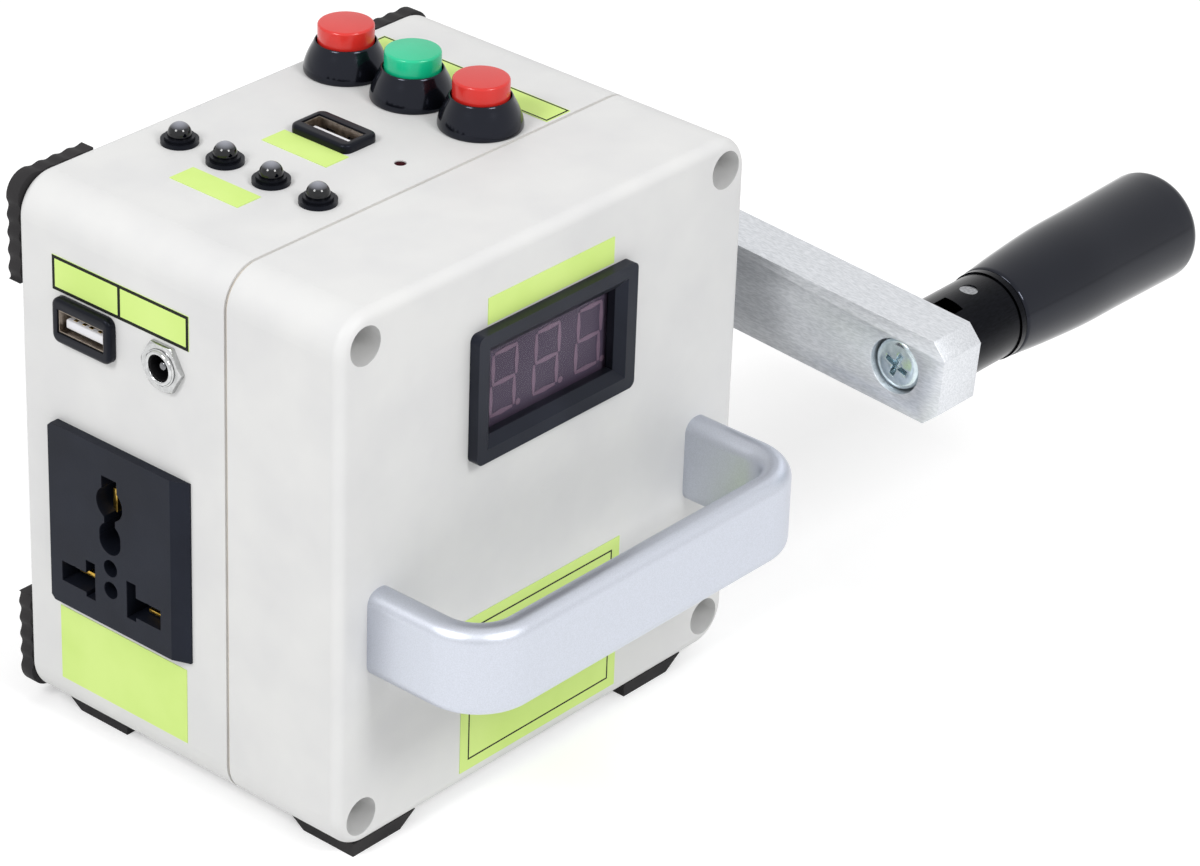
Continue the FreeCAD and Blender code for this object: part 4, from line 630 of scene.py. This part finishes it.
def make_button_bezels(materials):
    """Polished bells: widest at the foot, drawing in along a full curve to a thin soft rim round the cap."""
    stations = BELL_FOOT + BELL_SIDE + BELL_LIP
    pieces = [turned(on_top(button + "_cap"), "z", stations, 96) for button in BUTTONS]
    bezels = smooth(joined(pieces), 50)
    dress(bezels, "button_bells", "casing", "gloss_black_plastic", materials["gloss_black"])
    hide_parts("button_bezels")


def make_button_caps(materials):
    """Caps with a narrow rounded edge and a flat top, each on its stem."""
    for button in BUTTONS:
        top = in_case(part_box(button + "_cap")[1]).z - CASE_SIZE[2]
        stations = [(-STEM_REACH, CENTRE_FLAT), (-STEM_REACH, STEM_RADIUS), (top - CAP_CROWN, STEM_RADIUS),
                    (top - CAP_CROWN, CAP_RADIUS - CAP_WALL), (CAP_SKIRT, CAP_RADIUS - CAP_WALL),
                    (CAP_SKIRT, CAP_RADIUS - CAP_FOOT_BREAK), (CAP_SKIRT + CAP_FOOT_BREAK, CAP_RADIUS)]
        stations += [(top - CAP_EDGE + CAP_EDGE * sine, CAP_RADIUS - CAP_EDGE + CAP_EDGE * cosine)
                     for cosine, sine in arc()]
        stations.append((top, CENTRE_FLAT))
        cap = smooth(turned(on_top(button + "_cap"), "z", stations, 96), 50)
        colour = "green" if button == "middle_button" else "red"
        dress(cap, button + "_top", button, colour + "_plastic", materials[colour + "_cap"])
        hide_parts(button + "_cap")


# ---- crank arm, its screws and the grip -----------------------------------------------------------------

CRANK_CENTRE = (0.0, 46.0, 80.8)
CRANK_TILT = math.radians(3.9)
CRANK_RADIUS = 80.3
ARM_START, ARM_END, ARM_HALF = 132.0, 144.5, 10.0
ARM_TIP, ARM_HUB, ARM_CHAMFER = 12.4, 10.0, 3.5
ARM_FILED = 0.16
SCREW_SEAT = 4.0
ARM_DRILL_START = ARM_START - 1
SEAT_RADIUS, SCREW_HOLE, SHAFT_HOLE, THROUGH = 6.25, 3.2, 4.05, 15


def tilt_on_crank(obj):
    """Turn a piece drawn level through the crank axis to the crank's tilt."""
    centre = at(*CRANK_CENTRE)
    turn = Matrix.Translation(centre) @ Matrix.Rotation(CRANK_TILT, 4, "X") @ Matrix.Translation(-centre)
    obj.data.transform(turn)
    return obj


def make_crank_arm(materials):
    """Sawn aluminium bar: both ends clipped, drilled, and every edge just broken with a file."""
    y, z = CRANK_CENTRE[1:]
    tip, hub = y - CRANK_RADIUS - ARM_TIP, y + ARM_HUB
    bar = block((ARM_START, tip, z - ARM_HALF), (ARM_END, hub, z + ARM_HALF))
    take(bar)
    bpy.ops.object.mode_set(mode="EDIT")
    for end, side in ((tip, -1), (hub, 1)):
        for up in (-1, 1):
            bpy.ops.mesh.select_all(action="SELECT")
            edge = at(ARM_START, end - side * ARM_CHAMFER, z + up * ARM_HALF)
            bpy.ops.mesh.bisect(plane_co=edge, plane_no=Vector((0, side, up)), use_fill=True,
                                clear_outer=True)
    bpy.ops.object.mode_set(mode="OBJECT")
    grip_y = y - CRANK_RADIUS
    for drill_y, radius, deep, sides in ((grip_y, SEAT_RADIUS, SCREW_SEAT + 1, 96),
                                         (grip_y, SCREW_HOLE, THROUGH, 48), (y, SHAFT_HOLE, THROUGH, 64)):
        carve(bar, turned((ARM_DRILL_START, drill_y, z), "x", [(0, radius), (deep, radius)], sides))
    modify(bar, "BEVEL", width=ARM_FILED * MM, segments=2, limit_method="ANGLE", angle_limit=math.radians(25))
    tilt_on_crank(smooth(bar, 25))
    dress(bar, "arm_bar", "crank", "bare_aluminium", materials["sawn"])
    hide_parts("crank_arm")


HEAD_ROUND_HIGH, HEAD_ROUND_WIDE, HEAD_CROWN = 1.1, 2.2, 0.12
CROSS_TURN, CROSS_HALF, CROSS_DEEP = 20, 0.62, 2.2


def screw_head(place, axis, radius, height, shank_radius, shank_length):
    """A pan head with a cross recess, on its shank."""
    crown = [(height - HEAD_ROUND_HIGH + HEAD_ROUND_HIGH * sine,
              radius - HEAD_ROUND_WIDE + HEAD_ROUND_WIDE * cosine) for cosine, sine in arc()]
    stations = [(-shank_length, shank_radius), (0.0, shank_radius), (0.0, radius - 0.2), (0.2, radius)]
    stations += crown + [(height + HEAD_CROWN, radius * 0.3)]
    screw = turned(place, axis, stations, 72)
    sign = -1 if axis.startswith("-") else 1
    face = place[0] + sign * height
    for turn in (CROSS_TURN, CROSS_TURN + 90):
        wing = local_block((-CROSS_HALF, -radius * 0.5, -CROSS_DEEP), (CROSS_HALF, radius * 0.5, CROSS_DEEP))
        wing.data.transform(Matrix.Rotation(math.radians(90), 4, "Y"))
        wing.data.transform(Matrix.Rotation(math.radians(turn), 4, "X"))
        wing.data.transform(Matrix.Translation(at(face, place[1], place[2])))
        carve(screw, wing)
    modify(screw, "BEVEL", width=0.12 * MM, segments=2, limit_method="ANGLE", angle_limit=math.radians(50))
    return smooth(screw, 40)


def make_arm_screws(materials):
    """The cross screw that holds the grip, sunk in the arm, and the one that holds the arm on its shaft."""
    y, z = CRANK_CENTRE[1:]
    seat = (ARM_START + SCREW_SEAT, y - CRANK_RADIUS, z)
    grip_screw = screw_head(seat, "-x", radius=5.75, height=3.3, shank_radius=3.0, shank_length=12.0)
    dress(tilt_on_crank(grip_screw), "grip_cross_screw", "crank", "zinc_screw", materials["zinc"])
    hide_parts("grip_screw")
    hub_screw = screw_head((ARM_END, y, z), "x", radius=6.5, height=2.5, shank_radius=2.5,
                           shank_length=12.0)
    dress(tilt_on_crank(hub_screw), "hub_cross_screw", "crank", "zinc_screw", materials["zinc"])
    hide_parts("hub_screw")


GRIP_START = 165.3
GRIP_LENGTH = 61.0
GRIP_EDGE = 3.0
GRIP_SWELL = ((0.0, 10.1), (9.76, 11.05), (24.4, 12.0), (36.6, 12.15), (50.0, 12.4), (58.0, 12.55))
GRIP_FOOT = [(0.0, 4.1), (0.0, 9.8), (0.3, 10.1)]
GRIP_STATIONS = (1, 3, 6, 9, 12, 15, 18, 21, 24.4, 28, 32, 36, 40, 44, 48, 52, 55)


def grip_radius(along):
    """The grip's radius: a cubic drawn smoothly through the swell's points."""
    points = GRIP_SWELL
    for i, ((a, ra), (b, rb)) in enumerate(zip(points, points[1:])):
        if along <= b:
            before = points[max(i - 1, 0)]
            after = points[min(i + 2, len(points) - 1)]
            start = (rb - before[1]) / (b - before[0]) * (b - a)
            end = (after[1] - ra) / (after[0] - a) * (b - a)
            t = (along - a) / (b - a)
            return ((2 * t ** 3 - 3 * t ** 2 + 1) * ra + (t ** 3 - 2 * t ** 2 + t) * start
                    + (3 * t ** 2 - 2 * t ** 3) * rb + (t ** 3 - t ** 2) * end)
    return points[-1][1]


def make_grip(materials):
    """Polished handle: one long swell drawn as a smooth curve, with a soft end."""
    widest = GRIP_SWELL[-1][1]
    stations = GRIP_FOOT + [(x, grip_radius(x)) for x in GRIP_STATIONS]
    stations += [(GRIP_LENGTH - GRIP_EDGE + GRIP_EDGE * sine, widest - GRIP_EDGE + GRIP_EDGE * cosine)
                 for cosine, sine in arc(0, 90, 9)]
    stations += [(GRIP_LENGTH, 8.0), (GRIP_LENGTH, CENTRE_FLAT)]
    y, z = CRANK_CENTRE[1:]
    handle = turned((GRIP_START, y - CRANK_RADIUS, z), "x", stations, 128)
    tilt_on_crank(smooth(handle, 50))
    dress(handle, "grip_handle", "grip", "gloss_black_plastic", materials["grip_black"])
    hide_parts("grip")


# ---- rear pads ------------------------------------------------------------------------------------------

SCALLOP_PITCH = 4.0
SCALLOP_STEPS = 12
SCALLOP_ACROSS, SCALLOP_UP = 0.36, 0.55
PAD_DEPTH, PAD_CORNER, PAD_INSET = 3.5, 5.0, 0.4
PAD_WIDE, PAD_TALL = 21.4, 24.0


def scalloped_side(reach_end, deepest):
    """Points of a pad's straight side, from its corner out: (along it, in from the casing's edge)."""
    start = PAD_INSET + PAD_CORNER
    points = []
    for i in range(int((reach_end - PAD_INSET - PAD_CORNER) / SCALLOP_PITCH * SCALLOP_STEPS) + 1):
        along = i * SCALLOP_PITCH / SCALLOP_STEPS
        wave = (1 - math.cos(2 * math.pi * along / SCALLOP_PITCH)) / 2
        points.append((start + along, PAD_INSET + deepest * wave))
    return points + [(reach_end, PAD_INSET)]


def pad_outline():
    """A pad's rim, drawn for the left lower corner as (across, up)."""
    bottom = scalloped_side(PAD_WIDE, SCALLOP_ACROSS)[::-1]
    corner = [(PAD_INSET + PAD_CORNER * (1 - math.sin(a * math.pi / 16)),
               PAD_INSET + PAD_CORNER * (1 - math.cos(a * math.pi / 16))) for a in range(1, 8)]
    side = [(inward, along) for along, inward in scalloped_side(PAD_TALL, SCALLOP_UP)]
    return bottom + corner + side + [(PAD_WIDE, PAD_TALL)]


def make_rear_pads(materials):
    """Rubber corner pads, scalloped along both straight sides and plain round the corner."""
    pieces = []
    for right in (False, True):
        for high in (False, True):
            rim = [at(CASE_SIZE[0] - x if right else x, CASE_SIZE[1], CASE_SIZE[2] - z if high else z)
                   for x, z in pad_outline()]
            mesh = bpy.data.meshes.new("pad")
            mesh.from_pydata(rim, [], [list(range(len(rim)))])
            pad = bpy.data.objects.new("pad", mesh)
            bpy.context.scene.collection.objects.link(pad)
            take(pad)
            bpy.ops.object.mode_set(mode="EDIT")
            bpy.ops.mesh.select_all(action="SELECT")
            bpy.ops.mesh.extrude_region_move(TRANSFORM_OT_translate={"value": (0, PAD_DEPTH * MM, 0)})
            bpy.ops.mesh.select_all(action="SELECT")
            bpy.ops.mesh.normals_make_consistent(inside=False)
            bpy.ops.object.mode_set(mode="OBJECT")
            modify(pad, "BEVEL", width=0.3 * MM, segments=2, limit_method="ANGLE",
                   angle_limit=math.radians(60))
            pieces.append(pad)
    pads = smooth(joined(pieces), 40)
    dress(pads, "corner_rubbers", "casing", "black_rubber", materials["rubber"])
    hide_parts("rear_corner_pads")


# ---- sockets --------------------------------------------------------------------------------------------

USB_LONG, USB_SHORT, USB_SKIN, USB_DEEP, USB_PROUD = 6.6, 2.6, 0.35, 12.0, 2.0
USB_LIP = USB_PROUD - USB_SKIN
USB_CLEARANCE = 0.06
TONGUE_HALF, TONGUE_SETBACK, TONGUE_SHIFT, TONGUE_REACH = (5.5, 1.0), 1.0, 0.7, 11.0
FINGER_PLACES, FINGER_HALF, FINGER_THICK, FINGER_LEAN = (-3.0, 3.0), 0.85, 0.12, math.radians(7)
FINGER_ROOT, FINGER_TIP, FINGER_IN = -5.6, -0.6, 0.3
WINDOW_HALF, WINDOW_END = 1.2, -0.2
CONTACT_PLACES, CONTACT_HALF = (-3.5, -1.0, 1.0, 3.5), 0.5
FRAME_CORNER, FRAME_RISE = 1.9, 0.8
FRAME_STEPS = ((0.3, 0.05), (0.24, 0.14), (0.16, 0.2), (0.08, 0.26), (0.02, 0.25))      # (up, in) of its edge
# each socket's place, its own axes (long side, short side, outward) and half the size of its frame
USB_PLACES = {"side": ((0.0, 70.1, 95.4), ((0, -1, 0), (0, 0, 1), (-1, 0, 0)), (8.35, 5.1)),
              "top": ((59.0, 58.45, 122.0), ((0, -1, 0), (1, 0, 0), (0, 0, 1)), (8.15, 5.0))}


def set_in_wall(obj, which):
    """Turn a piece drawn on the socket's own axes into its wall."""
    place, axes, _ = USB_PLACES[which]
    turn = Matrix([Vector(axis) for axis in axes]).transposed().to_4x4()
    obj.data.transform(Matrix.Translation(at(*place)) @ turn)
    return obj


def socket_frame(half):
    """A raised black frame with a soft outer edge, round corners and a sleeve into the wall."""
    deselect()
    bpy.ops.mesh.primitive_plane_add(size=2)
    obj = bpy.context.object
    obj.scale = (half[0] * MM, half[1] * MM, 1)
    settle(obj)
    bpy.ops.object.mode_set(mode="EDIT")
    bpy.ops.mesh.select_all(action="SELECT")
    bpy.ops.mesh.bevel(offset=FRAME_CORNER * MM, segments=6, affect="VERTICES")
    straight = (USB_PROUD - FRAME_RISE) * MM
    bpy.ops.mesh.extrude_region_move(TRANSFORM_OT_translate={"value": (0, 0, straight)})
    for deep, across in FRAME_STEPS:
        bpy.ops.mesh.inset(thickness=across * MM, depth=deep * MM)
    bpy.ops.mesh.select_all(action="SELECT")
    bpy.ops.mesh.normals_make_consistent(inside=False)
    bpy.ops.object.mode_set(mode="OBJECT")
    sleeve = local_block((-7.6, -3.6, -6.0), (7.6, 3.6, 0.4))
    modify(obj, "BOOLEAN", object=sleeve, operation="UNION", solver="EXACT")
    bpy.data.objects.remove(sleeve)
    long, short = USB_LONG + USB_CLEARANCE, USB_SHORT + USB_CLEARANCE
    carve(obj, local_block((-long, -short, -9), (long, short, 5)))
    modify(obj, "BEVEL", width=0.12 * MM, segments=2, limit_method="ANGLE", angle_limit=math.radians(50))
    return smooth(obj, 40)


def folded_shell():
    """A socket's metal sleeve, with the windows its sprung fingers are cut from."""
    shell = local_block((-USB_LONG, -USB_SHORT, -USB_DEEP), (USB_LONG, USB_SHORT, USB_LIP))
    carve(shell, local_block((-USB_LONG + USB_SKIN, -USB_SHORT + USB_SKIN, -USB_DEEP - 1),
                             (USB_LONG - USB_SKIN, USB_SHORT - USB_SKIN, USB_LIP + 1)))
    for along in FINGER_PLACES:
        carve(shell, local_block((along - WINDOW_HALF, -USB_SHORT - 1, FINGER_ROOT),
                                 (along + WINDOW_HALF, USB_SHORT + 1, WINDOW_END)))
    return modify(shell, "BEVEL", width=0.07 * MM, segments=2, limit_method="ANGLE")


def make_usb_sockets(materials):
    """Sockets with a folded shell, sprung fingers in its long walls, and four contacts on the tongue."""
    shells, tongues, contacts = [], [], []
    for which, (_, _, half) in USB_PLACES.items():
        frame_piece = set_in_wall(socket_frame(half), which)
        dress(frame_piece, which + "_socket_frame", "casing", "charcoal_plastic", materials["frame_black"])
        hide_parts(which + "_usb_bezel")
        shells.append(set_in_wall(folded_shell(), which))
        for along in FINGER_PLACES:
            for side in (-1, 1):
                finger = local_block((along - FINGER_HALF, -FINGER_THICK, FINGER_ROOT),
                                     (along + FINGER_HALF, FINGER_THICK, FINGER_TIP), 0.06)
                shift = Matrix.Translation(Vector((0, side * (USB_SHORT - FINGER_IN), 0)) * MM)
                finger.data.transform(shift @ Matrix.Rotation(side * FINGER_LEAN, 4, "X"))
                shells.append(set_in_wall(finger, which))
        low = (-TONGUE_HALF[0], -TONGUE_SHIFT - TONGUE_HALF[1], -TONGUE_REACH)
        high = (TONGUE_HALF[0], -TONGUE_SHIFT + TONGUE_HALF[1], USB_LIP - TONGUE_SETBACK)
        tongues.append(set_in_wall(local_block(low, high, 0.35, 3), which))
        for along in CONTACT_PLACES:
            strip = local_block((along - CONTACT_HALF, high[1] - 0.1, -9.0),
                                (along + CONTACT_HALF, high[1] + 0.08, high[2] - 0.7), 0.05)
            contacts.append(set_in_wall(strip, which))
    shell = smooth(joined(shells), 30)
    dress(shell, "socket_shells", "casing", "plated_steel", materials["tin"])
    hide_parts("usb_shells")
    tongue = smooth(joined(tongues), 40)
    dress(tongue, "socket_tongues", "casing", "white_plastic", materials["white_nylon"])
    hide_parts("usb_tongues")
    dress(joined(contacts), "socket_contacts", "casing", "brass", materials["brass"])


JACK_PLACE = (0.0, 48.0, 95.3)
JACK_FLATS, JACK_NUT_HEIGHT, JACK_PROUD, JACK_RADIUS = 10.0, 1.3, 2.0, 4.0
JACK_LIP, JACK_MOUTH = 0.45, 2.84
JACK_FLANGE, JACK_DEPTH = 5.5, 9.5
THREAD_STEP, THREAD_DEPTH = 0.15, 0.12
PIN_RADIUS, PIN_ROUNDING, PIN_SETBACK, PIN_ROOT = 1.05, 0.6, 1.25, 8.0


def make_dc_jack(materials):
    """A threaded barrel with a rounded lip, a black liner and a round pin, held by a chamfered nut."""
    mouth = JACK_MOUTH + 0.01
    thread = [(JACK_NUT_HEIGHT - 0.2 + THREAD_STEP * i, JACK_RADIUS - THREAD_DEPTH * (i % 2))
              for i in range(3)]
    lip = [(JACK_PROUD - JACK_LIP + JACK_LIP * sine, mouth + JACK_LIP * (1 + cosine))
           for cosine, sine in arc(0, 181, 20)]
    stations = [(-5.6, 0.5), (-5.6, mouth)] + lip[::-1] + thread[::-1]
    stations += [(-2.5, JACK_RADIUS), (-2.5, JACK_FLANGE), (-5.0, JACK_FLANGE), (-5.0, JACK_RADIUS),
                 (-JACK_DEPTH, JACK_RADIUS), (-JACK_DEPTH, 0.5)]
    barrel = smooth(turned(JACK_PLACE, "-x", stations, 72), 40)
    dress(barrel, "jack_barrel", "casing", "plated_steel", materials["nickel"])
    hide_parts("dc_jack_barrel")
    stations = [(-5.5, 0.5), (-5.5, JACK_MOUTH), (JACK_PROUD - 0.6, JACK_MOUTH),
                (JACK_PROUD - 0.5, JACK_MOUTH - 0.1), (JACK_PROUD - 0.8, JACK_MOUTH - 0.3),
                (-5.3, JACK_MOUTH - 0.35), (-5.3, 0.5)]
    liner = smooth(turned(JACK_PLACE, "-x", stations, 64), 40)
    dress(liner, "jack_liner", "casing", None, materials["liner"])
    end = JACK_PROUD - PIN_SETBACK
    tip = [(end - PIN_ROUNDING * (1 - sine), PIN_RADIUS - PIN_ROUNDING * (1 - cosine))
           for cosine, sine in arc()]
    pin = turned(JACK_PLACE, "-x", [(-PIN_ROOT, 0.2), (-PIN_ROOT, PIN_RADIUS)] + tip + [(end, 0.1)], 48)
    dress(smooth(pin, 50), "jack_pin", "casing", "plated_steel", materials["pin"])
    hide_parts("dc_jack_pin")
    corner = JACK_FLATS / math.sqrt(3)
    nut = turned(JACK_PLACE, "-x", [(0.0, corner), (JACK_NUT_HEIGHT, corner)], 6)
    rounding = turned(JACK_PLACE, "-x", [(-1.0, 7.5), (0.0, corner - 0.1), (0.25, corner + 0.1),
                                         (JACK_NUT_HEIGHT - 0.45, corner + 0.1),
                                         (JACK_NUT_HEIGHT, corner - 0.65)], 96)
    modify(nut, "BOOLEAN", object=rounding, operation="INTERSECT", solver="EXACT")
    bpy.data.objects.remove(rounding)
    carve(nut, turned(JACK_PLACE, "-x", [(-1.0, JACK_RADIUS + 0.05), (4.0, JACK_RADIUS + 0.05)], 64))
    modify(nut, "BEVEL", width=0.1 * MM, segments=2, limit_method="ANGLE", angle_limit=math.radians(25))
    dress(smooth(nut, 30), "jack_nut", "casing", "plated_steel", materials["nut"])
    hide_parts("dc_jack_nut")


OUTLET_FRONT, OUTLET_REAR, OUTLET_LOW, OUTLET_HIGH, OUTLET_PROUD = 40.9, 80.4, 28.9, 71.1, 2.1
OUTLET_MIDDLE, OUTLET_BEVEL, OUTLET_EDGE, OUTLET_CORNER, POCKET_DEPTH = 62.5, 4.0, 0.5, 1.0, 12.0
OUTLET_RIM, OUTLET_DEEP = 2.6, 22.0
# pockets, from the outlet's middle and low edge: (start, end, low, high), then (across, up, radius, depth)
OUTLET_SLOTS = [(-2.2, 2.2, 31.1, 35.6), (-1.6, 1.6, 22.0, 29.6), (-7.35, -4.65, 4.7, 13.5),
                (-14.5, -7.34, 5.7, 10.4), (4.65, 7.35, 4.7, 13.5), (7.34, 14.5, 5.7, 10.4)]
OUTLET_ROUNDS = [(0.0, 29.6, 3.8, POCKET_DEPTH), (0.0, 20.8, 3.1, POCKET_DEPTH),
                 (0.0, 22.0, 3.1, POCKET_DEPTH), (0.0, 9.2, 1.95, 6.0), (0.0, 14.4, 1.95, 6.0),
                 (-10.7, 8.1, 2.4, POCKET_DEPTH), (10.7, 8.1, 2.4, POCKET_DEPTH)]
LEAVES = (((1.3, 63.7, 54.6), (6.2, 64.95, 60.2)), ((1.0, 70.5, 36.2), (6.2, 75.1, 37.4)),
          ((1.0, 50.1, 34.9), (6.2, 54.7, 35.8)))


def make_outlet_face(materials):
    """The outlet: a thick plate bevelled towards the front, its pockets sunk behind it.

    A strip of the casing's own plastic closes the wall's hole behind the plate's rear side.
    """
    plate = block((-OUTLET_PROUD, OUTLET_FRONT, OUTLET_LOW), (0.0, OUTLET_REAR, OUTLET_HIGH))
    take(plate)
    bpy.ops.object.mode_set(mode="EDIT")
    slope = Vector((-OUTLET_BEVEL, OUTLET_EDGE - OUTLET_PROUD, 0))
    cuts = [(at(-OUTLET_EDGE, OUTLET_FRONT, OUTLET_LOW), slope.normalized())]
    cuts += [(at(0, OUTLET_REAR - OUTLET_CORNER, z), Vector((0, 1, up)).normalized())
             for z, up in ((OUTLET_LOW, -1), (OUTLET_HIGH, 1))]
    for place, away in cuts:
        bpy.ops.mesh.select_all(action="SELECT")
        bpy.ops.mesh.bisect(plane_co=place, plane_no=away, use_fill=True, clear_outer=True)
    bpy.ops.object.mode_set(mode="OBJECT")
    body = block((-0.3, OUTLET_FRONT + OUTLET_RIM, OUTLET_LOW + OUTLET_RIM),
                 (OUTLET_DEEP, OUTLET_REAR - OUTLET_RIM, OUTLET_HIGH - OUTLET_RIM))
    modify(plate, "BOOLEAN", object=body, operation="UNION", solver="EXACT")
    bpy.data.objects.remove(body)
    outside = -OUTLET_PROUD - 1
    for start, end, low, high in OUTLET_SLOTS:
        carve(plate, block((outside, OUTLET_MIDDLE + start, OUTLET_LOW + low),
                           (POCKET_DEPTH, OUTLET_MIDDLE + end, OUTLET_LOW + high)))
    for across, up, radius, deep in OUTLET_ROUNDS:
        place = (outside, OUTLET_MIDDLE + across, OUTLET_LOW + up)
        carve(plate, turned(place, "x", [(0, radius), (deep - outside, radius)], 48))
    modify(plate, "BEVEL", width=0.12 * MM, segments=2, limit_method="ANGLE", angle_limit=math.radians(35))
    dress(smooth(plate, 15), "outlet_face", "casing", "charcoal_plastic", materials["charcoal"])
    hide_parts("ac_socket")
    wall = block((-0.02, OUTLET_REAR - 2.7, OUTLET_LOW + 0.3), (2.0, OUTLET_REAR + 3.9, OUTLET_HIGH - 0.3))
    carve(wall, block((-1.0, OUTLET_REAR - 3.0, OUTLET_LOW), (3.0, OUTLET_REAR - 0.3, OUTLET_HIGH)))
    dress(wall, "outlet_wall_edge", "casing", "casing_plastic", materials["casing"])


def make_outlet_leaves(materials):
    """The bent ends of the brass contacts, standing just inside the outlet's pockets."""
    leaves = [block(low, high, 0.2) for low, high in LEAVES]
    dress(smooth(joined(leaves), 30), "outlet_leaves", "casing", "brass", materials["brass"])


# ---- small marks on the casing --------------------------------------------------------------------------

INDICATOR_LENS = [(-3.0, 0.2), (-3.0, 1.25), (-0.3, 1.25), (-0.15, 1.1), (-0.06, 0.7), (-0.04, 0.2)]
GATE_PLACE = (60.9, 0, 61.8)
GATE_RING = [(-0.3, 1.4), (0.0, 1.4), (0.04, 1.3), (0.04, 1.05), (0.015, 0.95), (0.015, 0.2)]


def make_indicator(materials):
    """The small indicator's lens, its crown just under the casing's top."""
    lens = smooth(turned(on_top("indicator_led"), "z", INDICATOR_LENS, 40), 50)
    dress(lens, "indicator_lens", "casing", "red_lens", materials["red_lens"])
    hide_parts("indicator_led")


def make_gate_mark(materials):
    """The faint round mark that the mould's gate leaves on the front."""
    ring = smooth(turned(GATE_PLACE, "-y", GATE_RING, 48), 60)
    dress(ring, "gate_mark", "casing", "casing_plastic", materials["casing"])


make_camera()
make_studio()
MATERIALS = make_materials()
dress_nodes(MATERIALS)
make_labels(MATERIALS)
make_digits(MATERIALS)
make_button_bezels(MATERIALS)
make_button_caps(MATERIALS)
make_usb_sockets(MATERIALS)
make_dc_jack(MATERIALS)
make_outlet_face(MATERIALS)
make_outlet_leaves(MATERIALS)
make_indicator(MATERIALS)
make_gate_mark(MATERIALS)
make_crank_arm(MATERIALS)
make_arm_screws(MATERIALS)
make_grip(MATERIALS)
make_rear_pads(MATERIALS)

deselect()
